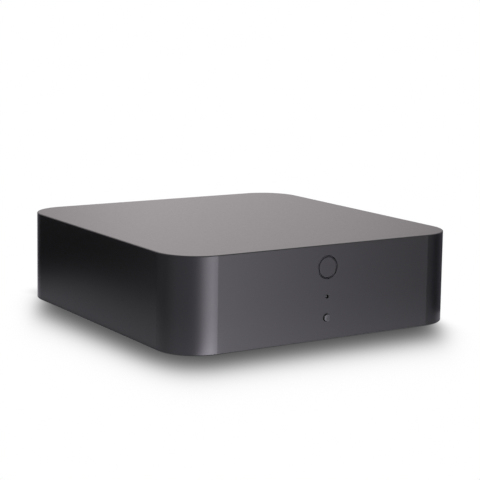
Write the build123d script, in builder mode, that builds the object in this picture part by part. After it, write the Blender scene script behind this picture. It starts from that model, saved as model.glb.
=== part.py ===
from build123d import *
import math
import os

# Wireless audio hub: a low square box with round corners that stands on a shelf.
#
# A one-piece shell with a flat top carries a status light and a push button on its front,
# and a recessed connector panel on its rear. A base cover closes it from below. Inside are
# the main board, the mains supply board, the wireless module with its two antennas and the
# small front board.
#
# Frame: +Z up, front towards -Y, rear towards +Y. The origin is on the floor plane, under
# the centre of the box. Millimetres.

os.makedirs("parts", exist_ok=True)

# ---------------------------------------------------------------- driving dimensions
WIDTH = 144.0  # x, across the front
DEPTH = 148.0  # y, front to rear
SHELL_H = 40.8  # the shell alone, lower rim to flat top
FOOT_DROP = 0.6  # how far the feet hold the rim above the shelf
CORNER_R = 18.2  # vertical corners, seen from above
WALL = 2.4
TOP_WALL = 2.6
TOP_EDGE_R = 0.4
RIM_CHAMFER = 0.4

RIM_Z = FOOT_DROP
TOP_Z = FOOT_DROP + SHELL_H
CEILING_Z = TOP_Z - TOP_WALL
FRONT_Y = -DEPTH / 2
REAR_Y = DEPTH / 2
INNER_FRONT_Y = FRONT_Y + WALL
INNER_REAR_Y = REAR_Y - WALL

BASE_Z0 = 1.5  # underside of the base cover, set back into the rim
BASE_T = 2.4
BASE_TOP = BASE_Z0 + BASE_T
BASE_GAP = 0.25

FOOT_R = 8.0
FOOT_POCKET = 0.8
FOOT_AT = [(-49, -50), (49, -50), (-49, 50), (49, 50)]

POST_R = 3.6  # screw posts of the shell that take the base screws
POSTS = [(-60, -62), (60, -62), (-60, 62), (60, 62)]
BASE_PILOT_R = 1.3

# rear recess and its panel
RECESS_W = 104.0
RECESS_H = 30.6
RECESS_ZC = 21.5
RECESS_R = 4.0
TRAY_WALL = 1.8
PANEL_Y = 64.0  # outer face of the connector panel
PANEL_T = 2.0
PANEL_IN_Y = PANEL_Y - PANEL_T

# boards
BOARD_Z = 8.0
BOARD_T = 1.6
BOARD_TOP = BOARD_Z + BOARD_T
MAIN_X0, MAIN_X1, MAIN_Y0, MAIN_Y1 = -29.4, 67.5, -50.0, 61.2
PSU_X0, PSU_X1, PSU_Y0, PSU_Y1 = -67.5, -31.2, -40.0, 61.2
MAIN_SCREWS = [(-24, -42), (30, -46), (62, -44), (-24, 34), (62, 34)]
PSU_SCREWS = [(-63, -35.5), (-63, 40), (-35.5, 20)]
STANDOFF_R = 3.0

# connectors on the rear panel: x and z of each centre
INLET_X, INLET_Z = -40.8, 15.5
LAN_X, LAN_Z = -21.5, 16.4
USB_X, USB_Z = -9.0, 17.0
HDMI_X, HDMI_Z = 2.9, 12.9
OPT_X = 16.0
COAX_X, COAX_Z = 26.4, 15.8
LINE_X, LINE_Z_LOW, LINE_Z_HIGH = 46.2, 15.8, 29.8
GND_X, GND_Z = 36.2, 28.6
PAIR_X, PAIR_Z = 36.2, 15.0
PANEL_SCREWS = [(26.4, 32.6), (-9.0, 32.6), (LINE_X, 22.8)]
PANEL_POSTS = [(26.4, 32.6), (-9.0, 32.6)]

# jack sleeves
SLEEVE_R = 4.15
SLEEVE_END_Y = 72.9
JACKS = [(COAX_X, COAX_Z), (LINE_X, LINE_Z_LOW), (LINE_X, LINE_Z_HIGH)]

# front features, heights above the shelf
BUTTON_Z = 10.2
BUTTON_R = 1.5
BUTTON_HOLE_R = 1.62
BUTTON_PROUD = 0.64  # straight part that stands out of the front
BUTTON_DOME = 0.06  # rounded cap on top of that
LIGHT_Z = 19.25
LIGHT_R = 0.6
LIGHT_HOLE_R = 0.85
BADGE_Z = 31.75
BADGE_R_OUT = 5.0
BADGE_R_IN = 4.3
FRONT_BOARD_Y = -65.0  # rear face of the front board
FRONT_BOARD_T = 1.2
FRONT_BOARD_SCREWS = [(-12.5, 22.0), (12.5, 22.0)]


# ---------------------------------------------------------------- casing
with BuildPart() as housing:
    with BuildSketch(Plane.XY.offset(RIM_Z)):
        RectangleRounded(WIDTH, DEPTH, CORNER_R)
    extrude(amount=SHELL_H)
    fillet(housing.faces().sort_by(Axis.Z)[-1].edges(), TOP_EDGE_R)
    chamfer(housing.faces().sort_by(Axis.Z)[0].edges(), RIM_CHAMFER)
    with BuildSketch(Plane.XY.offset(RIM_Z)):
        RectangleRounded(WIDTH - 2 * WALL, DEPTH - 2 * WALL, CORNER_R - WALL)
    extrude(amount=CEILING_Z - RIM_Z, mode=Mode.SUBTRACT)
    # screw posts down from the ceiling, each with a web to the side wall
    with BuildSketch(Plane.XY.offset(BASE_TOP)):
        with Locations(*POSTS):
            Circle(POST_R)
    extrude(amount=CEILING_Z - BASE_TOP)
    with BuildSketch(Plane.XY.offset(14.0)):
        for x, y in POSTS:
            with Locations((math.copysign(abs(x) + 4.6, x), y)):
                Rectangle(9.2, 1.8)
    extrude(amount=CEILING_Z - 14.0)
    with BuildSketch(Plane.XY.offset(BASE_TOP)):
        with Locations(*POSTS):
            Circle(BASE_PILOT_R)
    extrude(amount=12.0, mode=Mode.SUBTRACT)
    # stiffening ribs under the flat top
    with BuildSketch(Plane.XY.offset(CEILING_Z - 1.6)):
        with Locations((0, -52), (0, -20), (0, 20)):
            Rectangle(WIDTH - 2 * WALL, 1.4)
        with Locations((-20, 0), (34, 0)):
            Rectangle(1.4, 106)
    extrude(amount=1.6)
    # two posts behind the connector panel, which take its upper screws
    with BuildSketch(Plane.XY.offset(29.0)):
        with Locations(*[(x, 58.0) for x, z in PANEL_POSTS]):
            Rectangle(7.6, 8.0)
    extrude(amount=CEILING_Z - 29.0)
    with BuildSketch(Plane.XZ.offset(-PANEL_IN_Y)):
        with Locations(*PANEL_POSTS):
            Circle(1.15)
    extrude(amount=7.0, mode=Mode.SUBTRACT)
    # rear opening into the recess
    with BuildSketch(Plane.XZ.offset(-REAR_Y)):
        with Locations((0, RECESS_ZC)):
            RectangleRounded(RECESS_W, RECESS_H, RECESS_R)
    extrude(amount=WALL + 0.1, mode=Mode.SUBTRACT)
    rear_rim = (
        housing.faces().sort_by(Axis.Y)[-1].inner_wires()[0].edges()
    )
    chamfer(rear_rim, 0.5)
    # front: bosses for the front board
    with BuildSketch(Plane.XZ.offset(-INNER_FRONT_Y + 0.2)):
        with Locations(*FRONT_BOARD_SCREWS):
            Circle(2.4)
    extrude(amount=-(FRONT_BOARD_Y - FRONT_BOARD_T - INNER_FRONT_Y + 0.2))
    with BuildSketch(Plane.XZ.offset(-(FRONT_BOARD_Y - FRONT_BOARD_T))):
        with Locations(*FRONT_BOARD_SCREWS):
            Circle(1.1)
    extrude(amount=5.6, mode=Mode.SUBTRACT)
    # front: button hole and light hole
    with BuildSketch(Plane.XZ.offset(-FRONT_Y)):
        with Locations((0, BUTTON_Z)):
            Circle(BUTTON_HOLE_R)
        with Locations((0, LIGHT_Z)):
            Circle(LIGHT_HOLE_R)
    extrude(amount=-(WALL + 0.1), mode=Mode.SUBTRACT)
    # front: ring groove that seats the plain badge
    with BuildSketch(Plane.XZ.offset(-FRONT_Y)):
        with Locations((0, BADGE_Z)):
            Circle(BADGE_R_OUT + 0.06)
            Circle(BADGE_R_IN - 0.06, mode=Mode.SUBTRACT)
    extrude(amount=-0.7, mode=Mode.SUBTRACT)
    # soft edges on the button hole
    hole_edges = (
        housing.edges()
        .filter_by(GeomType.CIRCLE)
        .filter_by(lambda e: abs(e.radius - BUTTON_HOLE_R) < 1e-6)
        .sort_by(Axis.Y)[:1]
    )
    chamfer(hole_edges, 0.15)
housing.part.label = "housing"

with BuildPart() as base_cover:
    with BuildSketch(Plane.XY.offset(BASE_Z0)):
        RectangleRounded(
            WIDTH - 2 * WALL - 2 * BASE_GAP,
            DEPTH - 2 * WALL - 2 * BASE_GAP,
            CORNER_R - WALL - BASE_GAP,
        )
    extrude(amount=BASE_T)
    chamfer(base_cover.faces().sort_by(Axis.Z)[0].edges(), 0.3)
    # pockets that seat the feet
    with BuildSketch(Plane.XY.offset(BASE_Z0)):
        with Locations(*FOOT_AT):
            Circle(FOOT_R + 0.1)
    extrude(amount=FOOT_POCKET, mode=Mode.SUBTRACT)
    # screw holes with flat-bottomed counterbores
    with BuildSketch(Plane.XY.offset(BASE_Z0)):
        with Locations(*POSTS):
            Circle(1.7)
    extrude(amount=BASE_T, mode=Mode.SUBTRACT)
    with BuildSketch(Plane.XY.offset(BASE_Z0)):
        with Locations(*POSTS):
            Circle(3.2)
    extrude(amount=1.3, mode=Mode.SUBTRACT)
    # vent slots, two fields
    with BuildSketch(Plane.XY.offset(BASE_Z0)):
        with Locations((0, -40), (0, 44)):
            with GridLocations(24.0, 5.0, 3, 5):
                SlotOverall(20.0, 1.8)
    extrude(amount=BASE_T, mode=Mode.SUBTRACT)
    # shallow bare field for a rating label
    with BuildSketch(Plane.XY.offset(BASE_Z0)):
        with Locations((0, 3)):
            RectangleRounded(64, 34, 2.0)
    extrude(amount=0.25, mode=Mode.SUBTRACT)
    # standoffs for both boards
    with BuildSketch(Plane.XY.offset(BASE_TOP)):
        with Locations(*MAIN_SCREWS, *PSU_SCREWS):
            Circle(STANDOFF_R)
    extrude(amount=BOARD_Z - BASE_TOP)
    with BuildSketch(Plane.XY.offset(BOARD_Z)):
        with Locations(*MAIN_SCREWS, *PSU_SCREWS):
            Circle(1.1)
    extrude(amount=-4.6, mode=Mode.SUBTRACT)
    # pair of ribs that hold the insulating sheet's lower edge
    with BuildSketch(Plane.XY.offset(BASE_TOP)):
        with Locations((-30.95, 6.0), (-29.25, 6.0)):
            Rectangle(0.9, 96.0)
    extrude(amount=3.2)
    # upright lip that centres the cover inside the shell walls, in straight runs
    with BuildSketch(Plane.XY.offset(BASE_TOP)):
        with Locations((-68.3, 0), (68.3, 0)):
            Rectangle(1.6, 84)
        with Locations((0, -70.3)):
            Rectangle(96, 1.6)
    extrude(amount=2.0)
base_cover.part.label = "base_cover"

with BuildPart() as rubber_feet:
    with BuildSketch(Plane.XY):
        with Locations(*FOOT_AT):
            Circle(FOOT_R)
    extrude(amount=BASE_Z0 + FOOT_POCKET)
    chamfer(rubber_feet.edges().group_by(Axis.Z)[0], 0.5)
rubber_feet.part.label = "rubber_feet"

with BuildPart() as base_screws:
    with BuildSketch(Plane.XY.offset(BASE_Z0 + 0.15)):
        with Locations(*POSTS):
            Circle(2.9)
    extrude(amount=1.15)
    chamfer(base_screws.edges().group_by(Axis.Z)[0], 0.35)
    with BuildSketch(Plane.XY.offset(BASE_Z0 + 1.3)):
        with Locations(*POSTS):
            Circle(BASE_PILOT_R - 0.05)
    extrude(amount=10.5)
    with BuildSketch(Plane.XY.offset(BASE_Z0 + 0.15)):
        with Locations(*POSTS):
            Rectangle(3.0, 0.7)
            Rectangle(0.7, 3.0)
    extrude(amount=0.8, mode=Mode.SUBTRACT)
base_screws.part.label = "base_screws"

# ---------------------------------------------------------------- rear connector panel
with BuildPart() as rear_io_panel:
    with BuildSketch(Plane.XZ.offset(-INNER_REAR_Y)):
        with Locations((0, RECESS_ZC)):
            RectangleRounded(
                RECESS_W + 2 * TRAY_WALL, RECESS_H + 2 * TRAY_WALL, RECESS_R + TRAY_WALL
            )
    extrude(amount=INNER_REAR_Y - PANEL_IN_Y)
    with BuildSketch(Plane.XZ.offset(-INNER_REAR_Y)):
        with Locations((0, RECESS_ZC)):
            RectangleRounded(RECESS_W, RECESS_H, RECESS_R)
    extrude(amount=INNER_REAR_Y - PANEL_Y, mode=Mode.SUBTRACT)
    fillet(
        rear_io_panel.faces()
        .filter_by(Axis.Y)
        .filter_by(lambda f: abs(f.center().Y - PANEL_Y) < 1e-3)[0]
        .edges(),
        0.8,
    )
    # cut-outs
    with BuildSketch(Plane.XZ.offset(-PANEL_Y)):
        with Locations((INLET_X, INLET_Z)):
            RectangleRounded(20.3, 11.9, 1.0)
        with Locations((LAN_X, LAN_Z)):
            Rectangle(16.3, 13.7)
        with Locations((USB_X, USB_Z)):
            RectangleRounded(6.1, 13.5, 0.5)
        with BuildLine():
            Polyline(
                (HDMI_X - 7.65, HDMI_Z + 2.95),
                (HDMI_X + 7.65, HDMI_Z + 2.95),
                (HDMI_X + 7.65, HDMI_Z - 0.8),
                (HDMI_X + 5.5, HDMI_Z - 2.95),
                (HDMI_X - 5.5, HDMI_Z - 2.95),
                (HDMI_X - 7.65, HDMI_Z - 0.8),
                close=True,
            )
        make_face()
        with Locations((OPT_X, 15.1)):
            RectangleRounded(9.9, 11.1, 0.4)
        with Locations(*JACKS):
            Circle(4.45)
        with Locations((GND_X, GND_Z)):
            Circle(2.1)
        with Locations((PAIR_X, PAIR_Z)):
            Circle(2.2)
        with Locations(*PANEL_SCREWS):
            Circle(1.4)
    extrude(amount=PANEL_T, mode=Mode.SUBTRACT)
    # raised ring round the pairing button, to find it by touch
    with BuildSketch(Plane.XZ.offset(-PANEL_Y)):
        with Locations((PAIR_X, PAIR_Z)):
            Circle(3.1)
            Circle(2.2, mode=Mode.SUBTRACT)
    extrude(amount=-0.5)
rear_io_panel.part.label = "rear_io_panel"

with BuildPart() as io_panel_screws:
    with BuildSketch(Plane.XZ.offset(-PANEL_Y)):
        with Locations(*PANEL_SCREWS):
            Circle(2.0)
    extrude(amount=-1.5)
    fillet(io_panel_screws.edges().group_by(Axis.Y)[-1], 0.7)
    with BuildSketch(Plane.XZ.offset(-PANEL_Y)):
        with Locations(*PANEL_SCREWS):
            Circle(1.1)
    extrude(amount=7.0)
    with BuildSketch(Plane.XZ.offset(-PANEL_Y - 1.5)):
        with Locations(*PANEL_SCREWS):
            Rectangle(2.4, 0.55)
            Rectangle(0.55, 2.4)
    extrude(amount=0.9, mode=Mode.SUBTRACT)
io_panel_screws.part.label = "io_panel_screws"

# ---------------------------------------------------------------- boards
with BuildPart() as main_board:
    with BuildSketch(Plane.XY.offset(BOARD_Z)):
        with Locations(((MAIN_X0 + MAIN_X1) / 2, (MAIN_Y0 + MAIN_Y1) / 2)):
            RectangleRounded(MAIN_X1 - MAIN_X0, MAIN_Y1 - MAIN_Y0, 2.0)
        # rear corner cut back round the screw post
        with Locations((62.0, 60.2)):
            RectangleRounded(14.0, 6.0, 1.0, mode=Mode.SUBTRACT)
        with Locations(*MAIN_SCREWS):
            Circle(1.45, mode=Mode.SUBTRACT)
        with Locations((-11, 5.5), (21, -25.5)):
            Circle(1.6, mode=Mode.SUBTRACT)
    extrude(amount=BOARD_T)
main_board.part.label = "main_board"

with BuildPart() as psu_board:
    with BuildSketch(Plane.XY.offset(BOARD_Z)):
        with Locations(((PSU_X0 + PSU_X1) / 2, (PSU_Y0 + PSU_Y1) / 2)):
            RectangleRounded(PSU_X1 - PSU_X0, PSU_Y1 - PSU_Y0, 2.0)
        # rear corner cut back round the screw post
        with Locations((-62.0, 60.2)):
            RectangleRounded(14.0, 6.0, 1.0, mode=Mode.SUBTRACT)
        with Locations(*PSU_SCREWS):
            Circle(1.45, mode=Mode.SUBTRACT)
    extrude(amount=BOARD_T)
psu_board.part.label = "psu_board"

with BuildPart() as board_screws:
    # eight hold the two boards down, two hold the front board
    with BuildSketch(Plane.XY.offset(BOARD_TOP)):
        with Locations(*MAIN_SCREWS, *PSU_SCREWS):
            Circle(2.3)
    extrude(amount=1.5)
    chamfer(board_screws.edges().group_by(Axis.Z)[-1], 0.4)
    with BuildSketch(Plane.XY.offset(BOARD_TOP)):
        with Locations(*MAIN_SCREWS, *PSU_SCREWS):
            Circle(1.05)
    extrude(amount=-5.8)
    with BuildSketch(Plane.XY.offset(BOARD_TOP + 1.5)):
        with Locations(*MAIN_SCREWS, *PSU_SCREWS):
            Rectangle(2.4, 0.55)
            Rectangle(0.55, 2.4)
    extrude(amount=-0.8, mode=Mode.SUBTRACT)
    with BuildSketch(Plane.XZ.offset(-FRONT_BOARD_Y)):
        with Locations(*FRONT_BOARD_SCREWS):
            Circle(2.3)
    extrude(amount=-1.5)
    with BuildSketch(Plane.XZ.offset(-FRONT_BOARD_Y)):
        with Locations(*FRONT_BOARD_SCREWS):
            Circle(1.05)
    extrude(amount=5.8)
    with BuildSketch(Plane.XZ.offset(-FRONT_BOARD_Y - 1.5)):
        with Locations(*FRONT_BOARD_SCREWS):
            Rectangle(2.4, 0.55)
            Rectangle(0.55, 2.4)
    extrude(amount=0.8, mode=Mode.SUBTRACT)
board_screws.part.label = "board_screws"

# ---------------------------------------------------------------- main board parts
CPU_X, CPU_Y = 5.0, -10.0
with BuildPart() as processor:
    with BuildSketch(Plane.XY.offset(BOARD_TOP)):
        with Locations((CPU_X, CPU_Y)):
            Rectangle(17, 17)
    extrude(amount=0.6)
    with BuildSketch(Plane.XY.offset(BOARD_TOP + 0.6)):
        with Locations((CPU_X, CPU_Y)):
            Rectangle(14, 14)
    extrude(amount=0.9)
processor.part.label = "processor"

with BuildPart() as thermal_pad:
    with BuildSketch(Plane.XY.offset(BOARD_TOP + 1.5)):
        with Locations((CPU_X, CPU_Y)):
            RectangleRounded(15, 15, 0.8)
    extrude(amount=0.8)
thermal_pad.part.label = "thermal_pad"

SINK_Z = BOARD_TOP + 2.3
PINS = [(-11, 5.5), (21, -25.5)]
with BuildPart() as heat_sink:
    with BuildSketch(Plane.XY.offset(SINK_Z)):
        with Locations((CPU_X, CPU_Y)):
            RectangleRounded(42, 42, 1.0)
    extrude(amount=2.4)
    with BuildSketch(Plane.XY.offset(SINK_Z + 2.4)):
        with Locations((CPU_X, CPU_Y)):
            with GridLocations(4.0, 0, 11, 1):
                Rectangle(1.2, 42)
        with Locations(*PINS):
            Circle(4.2, mode=Mode.SUBTRACT)
    extrude(amount=10.0)
    with BuildSketch(Plane.XY.offset(SINK_Z)):
        with Locations(*PINS):
            Circle(1.6)
    extrude(amount=2.4, mode=Mode.SUBTRACT)
heat_sink.part.label = "heat_sink"

with BuildPart() as heat_sink_pins:
    with BuildSketch(Plane.XY.offset(SINK_Z + 2.4)):
        with Locations(*PINS):
            Circle(3.0)
    extrude(amount=1.2)
    with BuildSketch(Plane.XY.offset(SINK_Z + 3.6)):
        with Locations(*PINS):
            Circle(1.9)
    extrude(amount=3.0)
    with BuildSketch(Plane.XY.offset(SINK_Z + 2.4)):
        with Locations(*PINS):
            Circle(1.45)
    extrude(amount=-(SINK_Z + 2.4 - BOARD_Z + 1.4))
    chamfer(heat_sink_pins.edges().group_by(Axis.Z)[0], 0.5)
heat_sink_pins.part.label = "heat_sink_pins"

with BuildPart() as board_chips:
    # memory, network transformer, converters and amplifier chips
    with BuildSketch(Plane.XY.offset(BOARD_TOP)):
        with Locations((22.0, -8.0), (22.0, 5.0)):
            Rectangle(9.0, 11.0)
        with Locations((46.0, 18.0)):
            Rectangle(7.0, 7.0)
        with Locations((34.0, 18.0), (56.0, 18.0)):
            Rectangle(4.0, 5.0)
        with Locations((2.0, 38.0), (2.0, 26.0)):
            Rectangle(6.0, 6.0)
    extrude(amount=1.0)
    with BuildSketch(Plane.XY.offset(BOARD_TOP)):
        with Locations((-19.0, 22.0)):
            Rectangle(13.0, 9.0)
    extrude(amount=4.5)
board_chips.part.label = "board_chips"

with BuildPart() as analog_shield:
    with BuildSketch(Plane.XY.offset(BOARD_TOP)):
        with Locations((43.5, 33.0)):
            RectangleRounded(28, 18, 0.8)
    extrude(amount=5.0)
    with BuildSketch(Plane.XY.offset(BOARD_TOP)):
        with Locations((43.5, 33.0)):
            RectangleRounded(27.4, 17.4, 0.5)
    extrude(amount=4.7, mode=Mode.SUBTRACT)
    with BuildSketch(Plane.XY.offset(BOARD_TOP + 5.0)):
        with Locations((43.5, 33.0)):
            with GridLocations(5.0, 5.0, 4, 3):
                Circle(0.8)
    extrude(amount=-0.4, mode=Mode.SUBTRACT)
analog_shield.part.label = "analog_shield"

CAPS = [(14, 30), (14, 40), (23, 30), (23, 40), (-8, 44), (40, 5), (50, 5), (60, 5)]
with BuildPart() as board_capacitors:
    with BuildSketch(Plane.XY.offset(BOARD_TOP)):
        with Locations(*CAPS):
            RectangleRounded(6.8, 6.8, 0.8)
    extrude(amount=0.8)
    with BuildSketch(Plane.XY.offset(BOARD_TOP + 0.8)):
        with Locations(*CAPS):
            Circle(3.1)
    extrude(amount=6.4)
    fillet(board_capacitors.edges().group_by(Axis.Z)[-1], 0.5)
board_capacitors.part.label = "board_capacitors"

# ---------------------------------------------------------------- wireless
WIFI_X, WIFI_Y = 44.0, -34.0
with BuildPart() as wifi_module:
    with BuildSketch(Plane.XY.offset(BOARD_TOP)):
        with Locations((WIFI_X, WIFI_Y)):
            Rectangle(26, 16)
    extrude(amount=0.8)
    with BuildSketch(Plane.XY.offset(BOARD_TOP + 0.8)):
        with Locations((WIFI_X, WIFI_Y)):
            RectangleRounded(17, 14.6, 0.6)
    extrude(amount=1.9)
    with BuildSketch(Plane.XY.offset(BOARD_TOP + 0.8)):
        with Locations((WIFI_X - 10.6, WIFI_Y - 4), (WIFI_X + 10.6, WIFI_Y + 4)):
            Circle(1.4)
    extrude(amount=1.6)
wifi_module.part.label = "wifi_module"

LEAD_Z = BOARD_TOP + 1.7  # height at which both antenna leads leave the module
LEAD_R = 0.55
ANT_Z0, ANT_H = 25.5, 10.0
with BuildPart() as antennas:
    for side in (-1, 1):
        with BuildSketch(Plane.YZ.offset(side * 69.3 - 0.2)):
            with Locations((-22, ANT_Z0 + ANT_H / 2)):
                RectangleRounded(42, ANT_H, 1.0)
        extrude(amount=0.4)
antennas.part.label = "antennas"

with BuildPart() as antenna_cable_right:
    with BuildLine() as lead:
        FilletPolyline(
            (WIFI_X + 12.05, WIFI_Y + 4, LEAD_Z),
            (62.0, WIFI_Y + 4, LEAD_Z + 0.6),
            (67.6, -27.0, 18.0),
            (68.5, -22.0, 25.0),
            (68.5, -16.0, 29.0),
            radius=3.2,
        )
    with BuildSketch(Plane(origin=lead.line @ 0, z_dir=lead.line % 0)):
        Circle(LEAD_R)
    sweep()
antenna_cable_right.part.label = "antenna_cable_right"

with BuildPart() as antenna_cable_left:
    with BuildLine() as lead:
        FilletPolyline(
            (WIFI_X - 12.05, WIFI_Y - 4, LEAD_Z),
            (24.0, -39.0, LEAD_Z + 0.8),
            (12.0, -50.5, 14.0),
            (-12.0, -53.5, 14.2),
            (-36.0, -52.0, 15.6),
            (-56.0, -47.5, 19.0),
            (-67.0, -38.0, 24.0),
            (-68.5, -26.0, 28.5),
            (-68.5, -18.0, 30.0),
            radius=4.0,
        )
    with BuildSketch(Plane(origin=lead.line @ 0, z_dir=lead.line % 0)):
        Circle(LEAD_R)
    sweep()
antenna_cable_left.part.label = "antenna_cable_left"

# ---------------------------------------------------------------- network socket
with BuildPart() as ethernet_shell:
    with BuildSketch(Plane.XZ.offset(-64.4)):
        with Locations((LAN_X, LAN_Z)):
            Rectangle(16.0, 13.4)
    extrude(amount=21.0)
    with BuildSketch(Plane.XZ.offset(-64.1)):
        with Locations((LAN_X, LAN_Z)):
            Rectangle(15.4, 12.8)
    extrude(amount=20.4, mode=Mode.SUBTRACT)
    with BuildSketch(Plane.XZ.offset(-64.4)):
        with Locations((LAN_X, LAN_Z)):
            Rectangle(13.2, 10.6)
    extrude(amount=0.4, mode=Mode.SUBTRACT)
ethernet_shell.part.label = "ethernet_shell"

with BuildPart() as ethernet_insert:
    with BuildSketch(Plane.XZ.offset(-64.05)):
        with Locations((LAN_X, LAN_Z)):
            Rectangle(15.3, 12.7)
    extrude(amount=20.2)
    with BuildSketch(Plane.XZ.offset(-64.05)):
        with Locations((LAN_X, LAN_Z + 0.6)):
            Rectangle(11.8, 7.6)
        with Locations((LAN_X, LAN_Z - 3.8)):
            Rectangle(6.2, 1.6)
        with Locations((LAN_X, LAN_Z - 4.7)):
            Rectangle(3.4, 1.0)
    extrude(amount=13.5, mode=Mode.SUBTRACT)
    # relief behind the contact springs
    with BuildSketch(Plane.XZ.offset(-62.8)):
        with Locations((LAN_X, LAN_Z + 5.0)):
            Rectangle(9.0, 1.4)
    extrude(amount=12.0, mode=Mode.SUBTRACT)
ethernet_insert.part.label = "ethernet_insert"

with BuildPart() as port_contacts:
    # eight springs in the network socket
    for k in range(8):
        x = LAN_X + (k - 3.5) * 1.02
        with BuildSketch(Plane.YZ.offset(x - 0.22)):
            with BuildLine():
                Polyline(
                    (51.2, LAN_Z + 5.3),
                    (61.8, LAN_Z + 5.3),
                    (62.2, LAN_Z + 4.8),
                    (54.2, LAN_Z + 2.6),
                    (54.0, LAN_Z + 2.9),
                    (60.6, LAN_Z + 4.9),
                    (51.2, LAN_Z + 4.9),
                    close=True,
                )
            make_face()
        extrude(amount=0.44)
    # four strips on the tongue of the service socket
    for z in (-3.6, -1.1, 1.1, 3.6):
        with Locations((USB_X + 0.15, 58.25, USB_Z + z)):
            Box(0.3, 8.5, 1.1)
port_contacts.part.label = "port_contacts"

# ---------------------------------------------------------------- service socket
with BuildPart() as usb_shell:
    with BuildSketch(Plane.XZ.offset(-64.4)):
        with Locations((USB_X, USB_Z)):
            RectangleRounded(5.8, 13.2, 0.5)
            Rectangle(5.12, 12.5, mode=Mode.SUBTRACT)
    extrude(amount=14.0)
usb_shell.part.label = "usb_shell"

with BuildPart() as usb_insert:
    with BuildSketch(Plane.XZ.offset(-54.0)):
        with Locations((USB_X, USB_Z)):
            Rectangle(5.0, 12.4)
    extrude(amount=3.4)
    with BuildSketch(Plane.XZ.offset(-63.4)):
        with Locations((USB_X - 0.9, USB_Z)):
            Rectangle(1.8, 11.2)
    extrude(amount=9.4)
usb_insert.part.label = "usb_insert"

# ---------------------------------------------------------------- display-sound socket
with BuildPart() as hdmi_shell:
    with BuildSketch(Plane.XZ.offset(-64.5)):
        with BuildLine():
            Polyline(
                (HDMI_X - 7.45, HDMI_Z + 2.75),
                (HDMI_X + 7.45, HDMI_Z + 2.75),
                (HDMI_X + 7.45, HDMI_Z - 0.7),
                (HDMI_X + 5.4, HDMI_Z - 2.75),
                (HDMI_X - 5.4, HDMI_Z - 2.75),
                (HDMI_X - 7.45, HDMI_Z - 0.7),
                close=True,
            )
        make_face()
    extrude(amount=12.0)
    with BuildSketch(Plane.XZ.offset(-64.5)):
        with BuildLine():
            Polyline(
                (HDMI_X - 7.0, HDMI_Z + 2.3),
                (HDMI_X + 7.0, HDMI_Z + 2.3),
                (HDMI_X + 7.0, HDMI_Z - 0.5),
                (HDMI_X + 5.2, HDMI_Z - 2.3),
                (HDMI_X - 5.2, HDMI_Z - 2.3),
                (HDMI_X - 7.0, HDMI_Z - 0.5),
                close=True,
            )
        make_face()
    extrude(amount=12.0, mode=Mode.SUBTRACT)
hdmi_shell.part.label = "hdmi_shell"

with BuildPart() as hdmi_insert:
    with BuildSketch(Plane.XZ.offset(-55.5)):
        with BuildLine():
            Polyline(
                (HDMI_X - 6.95, HDMI_Z + 2.25),
                (HDMI_X + 6.95, HDMI_Z + 2.25),
                (HDMI_X + 6.95, HDMI_Z - 0.5),
                (HDMI_X + 5.2, HDMI_Z - 2.25),
                (HDMI_X - 5.2, HDMI_Z - 2.25),
                (HDMI_X - 6.95, HDMI_Z - 0.5),
                close=True,
            )
        make_face()
    extrude(amount=3.0)
    with BuildSketch(Plane.XZ.offset(-63.2)):
        with Locations((HDMI_X, HDMI_Z + 0.25)):
            Rectangle(11.4, 1.5)
    extrude(amount=7.7)
hdmi_insert.part.label = "hdmi_insert"

# ---------------------------------------------------------------- optical input with its shutter
OPT_W, OPT_Z0, OPT_Z1 = 9.6, 9.7, 20.5
OPT_IN_W, OPT_IN_Z0, OPT_IN_Z1 = 8.2, 10.7, 19.5
HINGE_Y, HINGE_Z = 63.1, 18.75
with BuildPart() as optical_receiver:
    with BuildSketch(Plane.XZ.offset(-64.3)):
        with Locations((OPT_X, (OPT_Z0 + OPT_Z1) / 2)):
            Rectangle(OPT_W, OPT_Z1 - OPT_Z0)
    extrude(amount=14.0)
    with BuildSketch(Plane.XZ.offset(-64.3)):
        with Locations((OPT_X, (OPT_IN_Z0 + OPT_IN_Z1) / 2)):
            Rectangle(OPT_IN_W, OPT_IN_Z1 - OPT_IN_Z0)
    extrude(amount=10.0, mode=Mode.SUBTRACT)
    # bearing holes for the shutter
    with BuildSketch(Plane.YZ.offset(OPT_X - 4.6)):
        with Locations((HINGE_Y, HINGE_Z)):
            Circle(0.36)
    extrude(amount=9.2, mode=Mode.SUBTRACT)
    # lens boss on the back wall of the socket
    with BuildSketch(Plane.XZ.offset(-54.3)):
        with Locations((OPT_X, 14.4)):
            Circle(1.5)
    extrude(amount=-1.1)
optical_receiver.part.label = "optical_receiver"

with BuildPart() as optical_shutter:
    with BuildSketch(Plane.YZ.offset(OPT_X - 3.9)):
        with Locations((HINGE_Y, (10.95 + HINGE_Z) / 2)):
            Rectangle(0.9, HINGE_Z - 10.95)
        with Locations((HINGE_Y, HINGE_Z)):
            Circle(0.6)
    extrude(amount=7.8)
    with BuildSketch(Plane.YZ.offset(OPT_X - 4.5)):
        with Locations((HINGE_Y, HINGE_Z)):
            Circle(0.3)
    extrude(amount=9.0)
    # shallow square dimple that centres the plug's tip
    with BuildSketch(Plane.XZ.offset(-HINGE_Y - 0.45)):
        with Locations((OPT_X, 14.4)):
            Rectangle(4.4, 4.4)
    extrude(amount=0.25, mode=Mode.SUBTRACT)
optical_shutter.part.label = "optical_shutter"

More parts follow.
